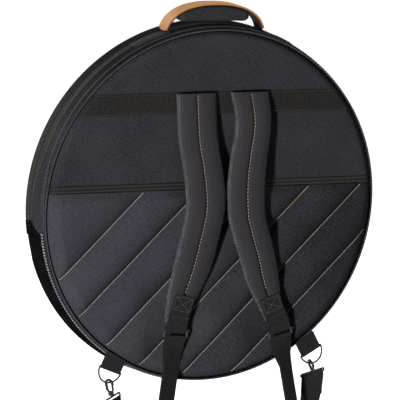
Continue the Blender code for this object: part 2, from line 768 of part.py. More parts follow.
def make_patches():
    """Webbing patches on the rim that reach under the handle's feet."""
    reach = math.degrees(PATCH_LENGTH / PATCH_OUTER)
    under = math.degrees(PATCH_UNDERLAP / PATCH_OUTER)
    low = HANDLE_Y - LEATHER_WIDTH / 2
    profile = flat_profile(PATCH_RADIUS, PATCH_OUTER, low, low + LEATHER_WIDTH)
    near = root_angle() + under
    rim_band("handle_right_patch", profile, near - reach, near, "webbing")
    rim_band("handle_left_patch", profile, 180.0 - near, 180.0 - near + reach, "webbing")


# Shoulder straps


def strap_frame(table, share):
    """Middle of the strap's inner face, and the strap's width there."""
    side, standoff, width = smooth_row(table, share)
    inner_y = BAND_FACE - FIT_GAP - standoff * STRAP_STANDOFF
    top = BAND_TOP - FIT_GAP
    middle = CENTRE + Vector((side * PAD_WIDTH, inner_y, top - share * STRAP_DROP))
    return middle, width * PAD_WIDTH


def slab_section(middle, half, low, high, edge):
    """Cut through a slab with trimmed corners, its faces square to the bag's depth."""
    shape = [
        (-half + edge, low), (half - edge, low), (half, low + edge), (half, high - edge),
        (half - edge, high), (-half + edge, high), (-half, high - edge), (-half, low + edge),
    ]
    return [middle + Vector((a, -b, 0.0)) for a, b in shape]


def strap_shares(table):
    """Evenly spaced shares along a strap's table."""
    last = table[-1][0]
    return [last * i / STRAP_STEPS for i in range(STRAP_STEPS + 1)]


def make_strap(side, spec):
    """Padded face and mesh lining of one shoulder strap."""
    table = spec["table"]
    pad, lining = [], []
    face_low = PAD_LINING_THICKNESS + FIT_GAP
    face_high = face_low + PAD_FACE_THICKNESS
    for share in strap_shares(table):
        middle, width = strap_frame(table, share)
        half = width / 2
        pad.append(slab_section(middle, half, face_low, face_high, PAD_EDGE))
        lining.append(slab_section(
            middle, half - LINING_INSET, 0.0, PAD_LINING_THICKNESS, LINING_EDGE,
        ))
    hinge = strap_hinge(table)
    loft(side + "_strap_pad", pad, "quilted_fabric", hinge)
    loft(side + "_strap_lining", lining, "mesh_lining", hinge)
    make_strap_webbing(side, spec, hinge)


def strap_hinge(table):
    """Where a strap swings: just in front of the upper skin, at its lower edge."""
    middle, _ = strap_frame(table, table[0][0])
    return Vector((middle.x, SKIN_FACE - OVERLAY_THICKNESS - 2 * FIT_GAP, middle.z))


def lock_bars(spec):
    """Top and bottom bar middles of a ladder lock, its across and down directions."""
    table = spec["table"]
    end = table[-1][0]
    middle, _ = strap_frame(table, end)
    face = PAD_LINING_THICKNESS + FIT_GAP + PAD_FACE_THICKNESS
    lean = math.radians(spec["lock_lean"])
    across = Vector((math.cos(lean), 0.0, math.sin(lean)))
    down = Vector((math.sin(lean), 0.0, -math.cos(lean)))
    front = middle + Vector((0.0, -1.0, 0.0)) * (face + 2 * FIT_GAP + WEBBING_THICKNESS / 2)
    top = front + Vector((0.0, turn_radius(LOCK_BAR_RADIUS), 0.0)) + down * LOCK_DROP
    return top, top + down * LOCK_BAR_PITCH, across, down


def turn_radius(wire):
    """Radius of webbing's middle as it bends round a bar."""
    return wire + FIT_GAP + WEBBING_THICKNESS / 2


def bar_turn(bar, across, toward, wire, front_first=True):
    """Half a turn of webbing round a bar, bulging in the given direction."""
    radius = turn_radius(wire)
    front = Vector((0.0, -1.0, 0.0))
    front = (front - front.dot(across) * across).normalized()
    away = (toward - toward.dot(across) * across).normalized()
    points = []
    for i in range(ROUTE_TURN_STEPS + 1):
        angle = math.pi * i / ROUTE_TURN_STEPS
        reach = front * math.cos(angle) + away * math.sin(angle)
        points.append((bar + reach * radius, across))
    return points if front_first else points[::-1]


def face_across(table, share):
    """Direction across webbing that lies flat on a strap's face."""
    before, _ = strap_frame(table, share - 1.0 / STRAP_STEPS)
    after, _ = strap_frame(table, share)
    along = after - before
    normal = Vector((0.0, along.z, -along.y))
    return normal.cross(along).normalized()


def make_strap_webbing(side, spec, hinge):
    """Webbing sewn on the strap's face, round the lock's top bar and back up."""
    table = spec["table"]
    last = table[-1][0]
    face = PAD_LINING_THICKNESS + FIT_GAP + PAD_FACE_THICKNESS
    lift = face + 2 * FIT_GAP + WEBBING_THICKNESS / 2
    top_bar, _, across, down = lock_bars(spec)
    first = last - STRAP_WEBBING_OVERLAP / STRAP_DROP
    route = []
    for share in strap_shares(table):
        if share > first:
            middle, _ = strap_frame(table, share)
            route.append((middle + Vector((0.0, -lift, 0.0)), face_across(table, share)))
    route += bar_turn(top_bar, across, down, LOCK_BAR_RADIUS)
    back = route[-1][0] - down * LOCK_DROP / 2
    route.append((back, across))
    ribbon(side + "_strap_webbing", route, "webbing", None, hinge)


def make_ladder_lock(side, spec):
    """A two-bar frame: the strap hangs on the top bar, the webbing on the bottom one."""
    top, bottom, across, down = lock_bars(spec)
    inner_half = WEBBING_WIDTH / 2 + LOCK_SIDE_GAP
    outer_half = inner_half + LOCK_RAIL_WIDTH
    bar = LOCK_BAR_RADIUS * math.sqrt(0.5)
    corner = bar
    outer = [
        (bar, -outer_half + corner), (bar, outer_half - corner), (bar - corner, outer_half),
        (-LOCK_BAR_PITCH - bar + corner, outer_half), (-LOCK_BAR_PITCH - bar, outer_half - corner),
        (-LOCK_BAR_PITCH - bar, -outer_half + corner),
        (-LOCK_BAR_PITCH - bar + corner, -outer_half), (bar - corner, -outer_half),
    ]
    inner_top = -bar
    inner_low = -LOCK_BAR_PITCH + bar
    inner_corner = bar / 2
    inner = [
        (inner_top, -inner_half + inner_corner), (inner_top, inner_half - inner_corner),
        (inner_top - inner_corner, inner_half), (inner_low + inner_corner, inner_half),
        (inner_low, inner_half - inner_corner), (inner_low, -inner_half + inner_corner),
        (inner_low + inner_corner, -inner_half), (inner_top - inner_corner, -inner_half),
    ]
    lock = frame_outline(side + "_ladder_lock", outer, inner, 2 * bar, "black_plastic")
    lock.data.transform(Matrix.Translation((0.0, 0.0, -bar)))
    normal = (-down).cross(across)
    lock.matrix_world = Matrix((
        (-down.x, across.x, normal.x, top.x),
        (-down.y, across.y, normal.y, top.y),
        (-down.z, across.z, normal.z, top.z),
        (0.0, 0.0, 0.0, 1.0),
    ))


# Rings and hooks


def ring_frame(spec):
    """Middle of a D-ring's bar, its direction and the direction of the bow."""
    shares = spec["ring_shares"]
    middle = CENTRE + Vector((shares[0] * DISC_RADIUS, RING_Y, shares[1] * DISC_RADIUS))
    lean = math.radians(spec["ring_lean"])
    bar = Vector((math.cos(lean), 0.0, math.sin(lean)))
    bow = Vector((math.sin(lean), 0.0, -math.cos(lean)))
    return middle, bar, bow


def ring_lowest(spec):
    """The lowest point of a D-ring's bow, where its hook hangs."""
    middle, bar, bow = ring_frame(spec)
    half = RING_WIDTH / 2
    angle = math.atan2(-bow.z * RING_DEPTH, -bar.z * half)
    return middle + bar * half * math.cos(angle) + bow * RING_DEPTH * math.sin(angle)


def make_ring(side, spec):
    """A D-ring of round wire."""
    middle, bar, bow = ring_frame(spec)
    half = RING_WIDTH / 2
    count = 24
    points = []
    for i in range(count + 1):
        angle = math.pi * i / count
        points.append(middle + bar * half * math.cos(angle) + bow * RING_DEPTH * math.sin(angle))
    for i in range(1, 6):
        points.append(points[count].lerp(points[0], i / 6))
    tube(side + "_d_ring", points, RING_WIRE_RADIUS, "black_metal", True, middle)


def make_tab(side, spec):
    """Webbing folded round a D-ring's bar and trimmed where it meets the rim."""
    middle, bar, bow = ring_frame(spec)
    turn = bar_turn(middle, bar, bow, RING_WIRE_RADIUS)
    first = turn[0][0] - bow * TAB_LENGTH
    final = turn[-1][0] - bow * TAB_LENGTH
    route = [(first, bar)] + turn + [(final, bar)]
    tab = ribbon(side + "_ring_tab", route, "webbing")
    count = math.ceil(360.0 / RIM_STEP_ANGLE)
    outline = [polar(DISC_RADIUS + SEAM_GAP, 360.0 * i / count, 0.0) for i in range(count)]
    cutter = prism(side + "_rim_guide", outline, BACK_FACE * 2, 0.0, "webbing")
    subtract(tab, cutter)


def hook_frame(spec):
    """Where a hook sits on its ring, with its down, plane and normal directions."""
    down = Vector(spec["hook_down"]).normalized()
    plane = Vector(spec["hook_plane"])
    plane = (plane - plane.dot(down) * down).normalized()
    return ring_lowest(spec), down, plane, down.cross(plane)


def hook_matrix(spec):
    """Local X in the hook's plane, Y its normal, Z up the hook, at the ring's wire."""
    place, down, plane, normal = hook_frame(spec)
    up = -down
    side = up.cross(plane)
    return Matrix((
        (plane.x, side.x, up.x, place.x),
        (plane.y, side.y, up.y, place.y),
        (plane.z, side.z, up.z, place.z),
        (0.0, 0.0, 0.0, 1.0),
    ))


def hook_length():
    """From the ring's wire to the underside of the swivel barrel."""
    return HOOK_SEAT + HOOK_THROAT + BARREL_HEIGHT


def make_hook(side, spec):
    """The hook's C-shaped frame with its swivel barrel, and the sprung gate."""
    inner = HOOK_INNER_RADIUS
    outer = inner + HOOK_BAR
    arc = -HOOK_SEAT
    steps = 10
    nose_low = arc - HOOK_NOSE
    neck = arc - HOOK_THROAT
    barrel = BARREL_WIDTH / 2
    floor = neck - BARREL_HEIGHT
    outline = [(inner, nose_low), (outer, nose_low)]
    for i in range(steps + 1):
        angle = math.pi * i / steps
        outline.append((outer * math.cos(angle), arc + outer * math.sin(angle)))
    outline += [(-outer, neck + inner), (-barrel, neck), (-barrel, floor), (barrel, floor)]
    outline += [(barrel, neck + HOOK_BAR / 2), (-inner + HOOK_BAR / 2, neck + HOOK_BAR / 2)]
    outline.append((-inner, neck + HOOK_BAR))
    for i in range(steps + 1):
        angle = math.pi - math.pi * i / steps
        outline.append((inner * math.cos(angle), arc + inner * math.sin(angle)))
    hook = local_prism(side + "_hook_frame", outline, HOOK_THICKNESS, "black_metal")
    hook.matrix_world = hook_matrix(spec)
    make_gate(side, spec, nose_low, neck)


def make_gate(side, spec, nose_low, neck):
    """A straight gate pivoted above the barrel, closing up to the nose."""
    left = HOOK_INNER_RADIUS + (HOOK_BAR - GATE_BAR) / 2
    pivot = neck + HOOK_BAR / 2 + FIT_GAP + GATE_BAR / 2
    length = nose_low - FIT_GAP - pivot
    half = GATE_BAR / 2
    outline = [
        (-half, 0.0), (-half / 2, -half), (half / 2, -half), (half, 0.0), (half, length),
        (-half, length),
    ]
    gate = local_prism(side + "_hook_gate", outline, GATE_THICKNESS, "black_metal")
    shift = Matrix.Translation((left + half - HOOK_BAR / 2 + GATE_BAR / 4, 0.0, pivot))
    gate.matrix_world = hook_matrix(spec) @ shift


def local_prism(name, outline, thickness, finish):
    """Extrude a local XZ outline evenly both ways along Y."""
    bm = bmesh.new()
    face = bm.faces.new([bm.verts.new((x, -thickness / 2, z)) for x, z in outline])
    made = bmesh.ops.extrude_face_region(bm, geom=[face])
    moved = [item for item in made["geom"] if isinstance(item, bmesh.types.BMVert)]
    bmesh.ops.translate(bm, verts=moved, vec=(0.0, thickness, 0.0))
    return add_object(name, bm, finish, Vector((0.0, 0.0, 0.0)))


def eye_frame(spec):
    """Top and bottom bar middles of a hook's webbing eye, with its directions."""
    place, down, _, _ = hook_frame(spec)
    across = Vector((1.0, 0.0, 0.0))
    across = (across - across.dot(down) * down).normalized()
    across = Matrix.Rotation(math.radians(spec["eye_turn"]), 3, -down) @ across
    top = place + down * (hook_length() + FIT_GAP + EYE_WIRE_RADIUS)
    return top, top + down * EYE_HEIGHT, across, down


def make_eye(side, spec):
    """An oblong wire eye that turns under the barrel and carries the webbing."""
    top, bottom, across, down = eye_frame(spec)
    straight = EYE_WIDTH / 2 - EYE_CORNER
    rise = EYE_HEIGHT / 2 - EYE_CORNER
    middle = (top + bottom) / 2
    corners = [(1, 1, 0.0), (-1, 1, 90.0), (-1, -1, 180.0), (1, -1, 270.0)]
    knots = []
    for right, above, start in corners:
        for i in range(4):
            angle = math.radians(start + 30.0 * i)
            reach = across * (right * straight + EYE_CORNER * math.cos(angle))
            knots.append(middle + reach - down * (above * rise + EYE_CORNER * math.sin(angle)))
    points = []
    for i, knot in enumerate(knots):
        following = knots[(i + 1) % len(knots)]
        points.append(knot)
        if (following - knot).length > EYE_HEIGHT:
            points += [knot.lerp(following, j / 6) for j in range(1, 6)]
    tube(side + "_hook_eye", points, EYE_WIRE_RADIUS, "black_metal", True, top)


def make_lower_webbing(side, spec):
    """One length of webbing: sewn round the eye, down, round and up over the lock."""
    _, eye_bar, eye_across, _ = eye_frame(spec)
    _, lock_bar, lock_across, lock_down = lock_bars(spec)
    up = Vector((0.0, 0.0, 1.0))
    x_axis = Vector((1.0, 0.0, 0.0))
    over_eye = bar_turn(eye_bar, eye_across, up, EYE_WIRE_RADIUS, front_first=False)
    start = over_eye[0][0] - up * HOOK_END_HEM
    route = [(start, eye_across)] + over_eye
    over_lock = bar_turn(lock_bar, lock_across, -lock_down, LOCK_BAR_RADIUS)
    leave = over_eye[-1][0]
    arrive = over_lock[0][0]
    bottom = eye_bar.z - LOOP_DROP
    reach = (arrive.z - bottom) / -lock_down.z
    lock_foot = arrive + lock_down * reach
    hook_foot = Vector((leave.x, leave.y, bottom)).lerp(lock_foot, 0.0)
    hook_foot.x = leave.x + (lock_foot.x - leave.x) * spec["loop_share"]
    for i in range(1, 7):
        share = i / 7
        eased = share * share * (3 - 2 * share)
        point = leave.lerp(hook_foot, share)
        point.x = leave.x + (hook_foot.x - leave.x) * eased
        route.append((point, eye_across.lerp(x_axis, share).normalized()))
    middle = (hook_foot + lock_foot) / 2
    half = (lock_foot - hook_foot) / 2
    for i in range(15):
        angle = math.pi * i / 14
        point = middle - half * math.cos(angle) - up * half.length * math.sin(angle)
        route.append((point, x_axis))
    for i in range(1, 6):
        share = i / 6
        route.append((lock_foot.lerp(arrive, share), x_axis.lerp(lock_across, share)))
    route += over_lock
    tail = over_lock[-1][0]
    route.append((tail + lock_down * TAIL_LENGTH, lock_across))
    ribbon(side + "_lower_webbing", route, "webbing")


def main():
    """Build the whole bag."""
    clear_scene()
    make_panels()
    make_back_skins()
    make_gussets()
    make_piping()
    make_dividers()
    make_zip_tapes()
    make_sliders()
    make_handle()
    for side, spec in SIDES.items():
        make_strap(side, spec)
        make_ladder_lock(side, spec)
        make_tab(side, spec)
        make_ring(side, spec)
        make_hook(side, spec)
        make_eye(side, spec)
        make_lower_webbing(side, spec)


main()
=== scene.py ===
# %% [markdown]
# # A round padded cymbal bag
# This lesson dresses a bag for its picture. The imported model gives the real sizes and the
# moving bodies, and the cells below make the cloth, the seams, the webbing and the light.
# All places are in metres, and the back of the bag, with its straps, faces -Y.

import math
from contextlib import contextmanager

import bpy
from mathutils import Matrix, Vector


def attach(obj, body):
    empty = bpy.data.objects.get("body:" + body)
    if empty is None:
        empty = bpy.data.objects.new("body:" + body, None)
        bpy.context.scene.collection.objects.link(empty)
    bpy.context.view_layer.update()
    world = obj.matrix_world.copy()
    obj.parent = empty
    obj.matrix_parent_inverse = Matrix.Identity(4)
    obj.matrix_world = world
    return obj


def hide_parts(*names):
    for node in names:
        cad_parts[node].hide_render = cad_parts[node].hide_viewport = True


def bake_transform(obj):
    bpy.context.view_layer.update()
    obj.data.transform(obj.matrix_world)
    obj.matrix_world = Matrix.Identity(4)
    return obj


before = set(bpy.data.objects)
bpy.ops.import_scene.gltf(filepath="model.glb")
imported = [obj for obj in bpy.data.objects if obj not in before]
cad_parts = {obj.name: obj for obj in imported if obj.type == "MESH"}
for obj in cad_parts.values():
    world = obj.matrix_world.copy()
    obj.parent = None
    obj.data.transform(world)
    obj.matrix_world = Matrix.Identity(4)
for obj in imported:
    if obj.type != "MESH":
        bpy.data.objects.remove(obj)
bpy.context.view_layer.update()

# %% [markdown]
# ## Camera
# The picture was taken from the left of the bag and a little above it, with a long lens.
# A camera can be aimed with a Track To constraint, but here its three directions are known,
# so they go straight into its matrix and nothing has to be solved.

# %% Camera
PICTURE_PIXELS = 400
FOCAL_PIXELS = 3151.78
SENSOR = 36.0
CAMERA_PLACE = (-2.12986, -4.75234, 0.73670)
CAMERA_RIGHT = (0.91562, -0.39946, 0.04531)
CAMERA_UP = (0.03776, 0.19766, 0.97953)
CAMERA_BACK = (-0.40025, -0.89518, 0.19607)


def add_object(name, data):
    """Put data into the scene as an object."""
    obj = bpy.data.objects.new(name, data)
    bpy.context.scene.collection.objects.link(obj)
    return obj


lens = bpy.data.cameras.new("camera")
lens.sensor_width = SENSOR
lens.lens = FOCAL_PIXELS / PICTURE_PIXELS * SENSOR
lens.clip_end = 200.0
camera = add_object("camera", lens)
turned = Matrix((CAMERA_RIGHT, CAMERA_UP, CAMERA_BACK)).transposed().to_4x4()
camera.matrix_world = Matrix.Translation(CAMERA_PLACE) @ turned
bpy.context.scene.camera = camera
bpy.context.scene.view_settings.view_transform = "Standard"
print("lens:", round(lens.lens, 1), "mm")

# %% [markdown]
# ## Writing materials as sums
# A material is a network of nodes, and long chains of Math nodes are hard to read. A small
# class can stand for a socket, so that an expression in Python adds those nodes by itself.
# Another small class holds one material and makes every other node by one method.


# %% Sockets that can be added and multiplied
class Value:
    """A number that varies over a surface, used in sums like a plain number."""

    def __init__(self, finish, socket):
        self.finish = finish
        self.socket = socket

    def __add__(self, other):
        return self.finish.maths("ADD", self, other)

    def __radd__(self, other):
        return self.finish.maths("ADD", other, self)

    def __sub__(self, other):
        return self.finish.maths("SUBTRACT", self, other)

    def __rsub__(self, other):
        return self.finish.maths("SUBTRACT", other, self)

    def __mul__(self, other):
        return self.finish.maths("MULTIPLY", self, other)

    def __rmul__(self, other):
        return self.finish.maths("MULTIPLY", other, self)

    def wave(self):
        """The sine of the value."""
        return self.finish.maths("SINE", self)

    def size(self):
        """The value without its sign."""
        return self.finish.maths("ABSOLUTE", self)

    def at_most(self, other):
        """The smaller of two values."""
        return self.finish.maths("MINIMUM", self, other)

    def at_least(self, other):
        """The larger of two values."""
        return self.finish.maths("MAXIMUM", self, other)

    def share(self):
        """The value, held between zero and one."""
        return self.at_least(0.0).at_most(1.0)


class Network:
    """A tree of shader nodes, built node by node."""

    def __init__(self, tree):
        self.tree = tree

    def node(self, kind, settings=None, sockets=None):
        """Add a node, set it up, and fill or link its sockets."""
        made = self.tree.nodes.new(kind)
        for key, value in (settings or {}).items():
            setattr(made, key, value)
        for key, value in (sockets or {}).items():
            self.feed(made.inputs[key], value)
        return made

    def feed(self, socket, value):
        """Link a value to a socket, or write a constant into it."""
        if isinstance(value, Value):
            self.tree.links.new(value.socket, socket)
        elif isinstance(value, bpy.types.NodeSocket):
            self.tree.links.new(value, socket)
        else:
            socket.default_value = value

    def maths(self, operation, *terms):
        """A Math node as a value."""
        sockets = dict(enumerate(terms))
        made = self.node("ShaderNodeMath", {"operation": operation}, sockets)
        return Value(self, made.outputs[0])

    def place(self, by_surface=True):
        """The place on the surface, in metres, as three values."""
        source = self.node("ShaderNodeTexCoord").outputs["UV" if by_surface else "Object"]
        parts = self.node("ShaderNodeSeparateXYZ", None, {"Vector": source})
        return source, [Value(self, parts.outputs[i]) for i in range(3)]

    def stretch(self, source, scale):
        """Draw a pattern out along its axes."""
        sockets = {"Vector": source, "Scale": scale}
        return self.node("ShaderNodeMapping", None, sockets).outputs["Vector"]

    def noise(self, source, scale, detail=3.0, roughness=0.5):
        """Cloudy values round one half."""
        sockets = {"Vector": source, "Scale": scale, "Detail": detail, "Roughness": roughness}
        return Value(self, self.node("ShaderNodeTexNoise", None, sockets).outputs["Fac"])

    def blend(self, factor, first, second):
        """Mix two colours by a value."""
        sockets = {0: factor, 6: (*first, 1.0), 7: (*second, 1.0)}
        return self.node("ShaderNodeMix", {"data_type": "RGBA"}, sockets).outputs[2]


class Finish(Network):
    """One material, with its shader."""

    def __init__(self, name, **constants):
        self.material = bpy.data.materials.new(name)
        self.material.use_nodes = True
        super().__init__(self.material.node_tree)
        self.shader = self.tree.nodes["Principled BSDF"]
        for socket, value in constants.items():
            self.shader.inputs[socket.replace("_", " ")].default_value = value

    def paint(self, socket, value):
        """Feed one of the shader's own sockets."""
        self.feed(self.shader.inputs[socket], value)

    def relief(self, height, depth):
        """Let a height from 0 to 1 stand a real depth proud of the surface."""
        sockets = {"Height": height, "Distance": depth, "Strength": 1.0}
        made = self.node("ShaderNodeBump", None, sockets)
        self.feed(self.shader.inputs["Normal"], made.outputs["Normal"])


print("material helpers ready")

# %% [markdown]
# ## Cloth finishes
# Charcoal polyester, black twill and nylon webbing are all threads over and under threads.
# An image could show that, but a weave is a sum of two waves, so a few nodes give it at its
# real pitch, and a soft noise adds the uneven dye and dust that keep it from looking flat.


# %% Woven cloth
CLOTH_GLOSS = 0.02
WEAVE_PITCH = 0.0009
TOP_SHADE_DEPTH = 0.175
TOP_SHADE_RATE = 9.0


def painted_top_shade(cloth, shade):
    """Painted shade: darken a tone towards the top of the bag, from a depth below the handle up.
    """
    _, (_, _, height) = cloth.place(by_surface=False)
    top_shadow = ((height + TOP_SHADE_DEPTH) * TOP_SHADE_RATE).share()
    return shade * (1.0 - top_shadow * 0.85)


def woven_finish(
    name, dark, light, grain=430.0, depth=0.00030, roughness=0.8, level=0.8, top_shaded=False,
    painted_side_shade=0.0,
):
    """Plain weave whose uneven yarns show as a grain of 3 or 4 mm.

    It may take painted shade towards the top of the bag, and painted light across, at a rate for
    each metre.
    """
    cloth = Finish(name, Roughness=roughness, Specular_IOR_Level=CLOTH_GLOSS)
    source, (across, along, _) = cloth.place()
    turns = math.pi / WEAVE_PITCH
    threads = (across * turns).wave().size() * (along * turns).wave().size()
    cloud = cloth.noise(source, 13.0, 4.0)
    speck = cloth.noise(source, grain, 3.0, 0.7)
    yarn = cloth.noise(cloth.stretch(source, (0.22, 1.0, 1.0)), grain * 1.7, 2.0)
    warp = cloth.noise(cloth.stretch(source, (1.0, 0.22, 1.0)), grain * 1.7, 2.0)
    grainy = 2.2 * speck + 1.7 * yarn + 1.1 * warp + 0.8 * cloud + 0.3 * threads
    shade = (grainy - 2.97) * level + 0.5
    # Painted light and shade: lighter on the left, towards the key lamp, darker to the right.
    if painted_side_shade:
        _, (left, _, _) = cloth.place(by_surface=False)
        shade = shade - left * painted_side_shade - left.at_least(0.0) * (painted_side_shade * 0.6)
    shade = shade.share()
    # Painted shade: darker towards the top of the bag.
    if top_shaded:
        shade = painted_top_shade(cloth, shade)
    cloth.paint("Base Color", cloth.blend(shade, dark, light))
    cloth.relief(threads * 0.25 + speck * 0.6 + yarn * 0.5, depth)
    return cloth.material


CHARCOAL = woven_finish("charcoal_cloth", (0.018, 0.0172, 0.021), (0.064, 0.0612, 0.0735))
# The rim cloth takes painted shade towards the top of the bag.
RIM_CLOTH = woven_finish(
    "rim_cloth", (0.0085, 0.0083, 0.0095), (0.074, 0.0710, 0.0850), top_shaded=True,
)
# The quilted cloth takes painted light: lighter on the left, darker to the right.
QUILTED = woven_finish(
    "quilted_cloth", (0.020, 0.0192, 0.0235), (0.072, 0.0690, 0.0830), painted_side_shade=1.1,
)
STRAP_CLOTH = woven_finish(
    "strap_cloth", (0.024, 0.0225, 0.0255), (0.068, 0.0640, 0.0720), level=0.5,
)
LINING = woven_finish("lining_cloth", (0.040, 0.040, 0.045), (0.090, 0.090, 0.098), 700.0)
GRIP_CLOTH = woven_finish("grip_cloth", (0.018, 0.0190, 0.0210), (0.058, 0.0610, 0.0660))
PIPING = woven_finish("piping_cloth", (0.036, 0.035, 0.042), (0.095, 0.091, 0.107), 500.0)
print("cloths:", CHARCOAL.name, QUILTED.name, STRAP_CLOTH.name, LINING.name, GRIP_CLOTH.name)


# %% Twill, webbing and zip tape
def ribbed_finish(
    name, dark, light, pitch, turn, depth, roughness, share=0.6, dull=0.0, top_shaded=False,
    gloss=CLOTH_GLOSS,
):
    """Ribs at a turn in degrees from the way along, with finer threads across them."""
    cloth = Finish(name, Roughness=roughness, Specular_IOR_Level=gloss)
    source, (across, along, _) = cloth.place()
    lean = math.radians(turn)
    step = across * math.cos(lean) + along * math.sin(lean)
    run = along * math.cos(lean) - across * math.sin(lean)
    rib = (step * (math.pi / pitch)).wave().size()
    thread = (run * (2 * math.pi / (pitch * 0.7))).wave()
    speck = cloth.noise(source, 260.0, 3.0, 0.7)
    height = rib * 0.75 + thread * 0.12 + 0.12
    shade = height * share + speck * 1.5 - (0.45 + share * 0.30 + dull)
    shade = shade.share()
    # Painted shade: darker towards the top of the bag.
    if top_shaded:
        shade = painted_top_shade(cloth, shade)
    cloth.paint("Base Color", cloth.blend(shade, dark, light))
    cloth.relief(height + speck * 0.4, depth)
    return cloth.material


WEBBING = ribbed_finish(
    "nylon_webbing", (0.0075, 0.0075, 0.0080), (0.046, 0.046, 0.048), 0.0024, 0.0, 0.00035, 0.62,
)
ANCHOR = ribbed_finish(
    "anchor_webbing", (0.0070, 0.0065, 0.0062), (0.048, 0.0455, 0.042), 0.0027, 0.0, 0.00045,
    0.70, 0.9,
)
TWILL = ribbed_finish(
    "black_twill", (0.0005, 0.0005, 0.0006), (0.0400, 0.0415, 0.0460), 0.0052, 65.8, 0.00030,
    0.86, 1.7, 0.78, gloss=0.0,
)
# The zip tape takes painted shade towards the top of the bag.
TAPE = ribbed_finish(
    "zip_tape", (0.009, 0.0096, 0.0086), (0.078, 0.0810, 0.0745), 0.0036, 38.0, 0.00045, 0.70,
    0.8, top_shaded=True,
)
print("ribbed cloths:", WEBBING.name, ANCHOR.name, TWILL.name, TAPE.name)


# %% Mesh lining
HOLE_PITCH = 0.0019


def mesh_finish():
    """Knitted spacer mesh: pale threads between small dark holes, in a lattice."""
    cloth = Finish("mesh_lining", Roughness=0.8, Specular_IOR_Level=0.04)
    source, (x, y, z) = cloth.place(by_surface=False)
    turns = math.pi / HOLE_PITCH
    lattice = ((x - y) * turns).wave() * (z * turns).wave()
    speck = cloth.noise(source, 330.0, 2.0, 0.7)
    thread = (lattice * 1.1 + speck * 2.4 - 0.95).share()
    cloth.paint("Base Color", cloth.blend(thread, (0.006, 0.006, 0.007), (0.270, 0.270, 0.282)))
    cloth.relief(thread, 0.0007)
    return cloth.material


MESH = mesh_finish()
print("mesh:", MESH.name)


# %% Tan leather
def leather_finish():
    """Smooth vegetable tanned leather with a fine grain, and painted light: paler towards the top
    of the arch, darker down its legs.
    """
    hide = Finish("tan_leather", Specular_IOR_Level=0.14)
    source, (_, _, height) = hide.place(by_surface=False)
    cloud = hide.noise(source, 26.0, 5.0, 0.6)
    # Painted light: paler towards the top of the arch, darker down its legs.
    painted_top_light = (height - 0.010) * 11.0
    pores = hide.node(
        "ShaderNodeTexVoronoi", {"feature": "F1"}, {"Vector": source, "Scale": 900.0},
    )
    pore = Value(hide, pores.outputs["Distance"])
    shade = (cloud * 1.5 - 0.3 + painted_top_light).share()
    hide.paint("Base Color", hide.blend(shade, (0.415, 0.165, 0.036), (0.680, 0.318, 0.088)))
    hide.paint("Roughness", cloud * 0.20 + 0.44)
    hide.relief(pore, 0.00012)
    return hide.material


LEATHER = leather_finish()
print("leather:", LEATHER.name)


# %% Thread, metal and plastic
def plain_finish(name, dark, light, roughness, metallic, scale, depth, gloss=0.5):
    """A near even finish with fine wear in its colour and gloss."""
    made = Finish(name, Metallic=metallic, Specular_IOR_Level=gloss)
    source, _ = made.place(by_surface=False)
    wear = made.noise(source, scale, 4.0, 0.6)
    shade = (wear * 2.0 - 0.5).share()
    made.paint("Base Color", made.blend(shade, dark, light))
    made.paint("Roughness", wear * 0.3 + (roughness - 0.15))
    made.relief(wear, depth)
    return made.material


BLACK_METAL, PAINTED_METAL, BLACK_PLASTIC, TEETH, BLACK_AND_SHADED_TEETH = [plain_finish(*row) for row in (
    ("black_metal", (0.012, 0.012, 0.013), (0.034, 0.034, 0.036), 0.34, 0.85, 300.0, 0.00003),
    ("painted_metal", (0.010, 0.010, 0.011), (0.024, 0.024, 0.025), 0.55, 0.0, 300.0, 0.00003,
     0.2),
    ("black_plastic", (0.014, 0.014, 0.015), (0.026, 0.026, 0.027), 0.42, 0.0, 260.0, 0.00004),
    ("zip_teeth", (0.120, 0.123, 0.130), (0.330, 0.335, 0.345), 0.35, 0.20, 500.0, 0.00002),
    # Near black: the main zip's own teeth, and painted shade on the side zip's front row.
    ("black_and_shaded_zip_teeth", (0.008, 0.008, 0.008), (0.022, 0.022, 0.023), 0.40, 0.1, 500.0, 0.00002),
)]
TAN_THREAD, DIM_THREAD, BLACK_THREAD = [
    plain_finish(name, dark, light, roughness, 0.0, 420.0, 0.00002)
    for name, dark, light, roughness in (
        ("tan_thread", (0.600, 0.450, 0.310), (0.950, 0.810, 0.620), 0.60),
        ("dim_thread", (0.042, 0.041, 0.045), (0.110, 0.107, 0.116), 0.60),
        ("black_thread", (0.006, 0.006, 0.006), (0.020, 0.020, 0.021), 0.55),
    )
]
print("finishes:", len(bpy.data.materials))

# %% [markdown]
# ## Helpers for modelling
# Every piece below starts as a primitive, is worked on with the mesh operators and then
# rides on one of the bag's bodies. An operator acts on all that is selected, so the first
# helper empties the selection. A grid whose points are put in place by a rule makes a cloth
# panel, and a ring of points that is spun about the bag's axis makes a piece of the rim.

# %% Selecting and fitting
DISC_Z = -0.3075
RIM_RADIUS = 0.3
FULL_TURN = 360.0
MERGE = 0.00001


def clear_selection():
    """Deselect everything."""
    if bpy.context.mode != "OBJECT":
        bpy.ops.object.mode_set(mode="OBJECT")
    bpy.ops.object.select_all(action="DESELECT")


def take(obj):
    """Select one object alone and make it active."""
    clear_selection()
    obj.select_set(True)
    bpy.context.view_layer.objects.active = obj
    return obj


@contextmanager
def editing(obj, kind="VERT", action="SELECT"):
    """Edit mode on one object, with all of its points or edges selected or none."""
    take(obj)
    bpy.ops.object.mode_set(mode="EDIT")
    bpy.ops.mesh.select_mode(type=kind)
    bpy.ops.mesh.select_all(action=action)
    yield
    bpy.ops.mesh.select_mode(type="VERT")
    bpy.ops.object.mode_set(mode="OBJECT")


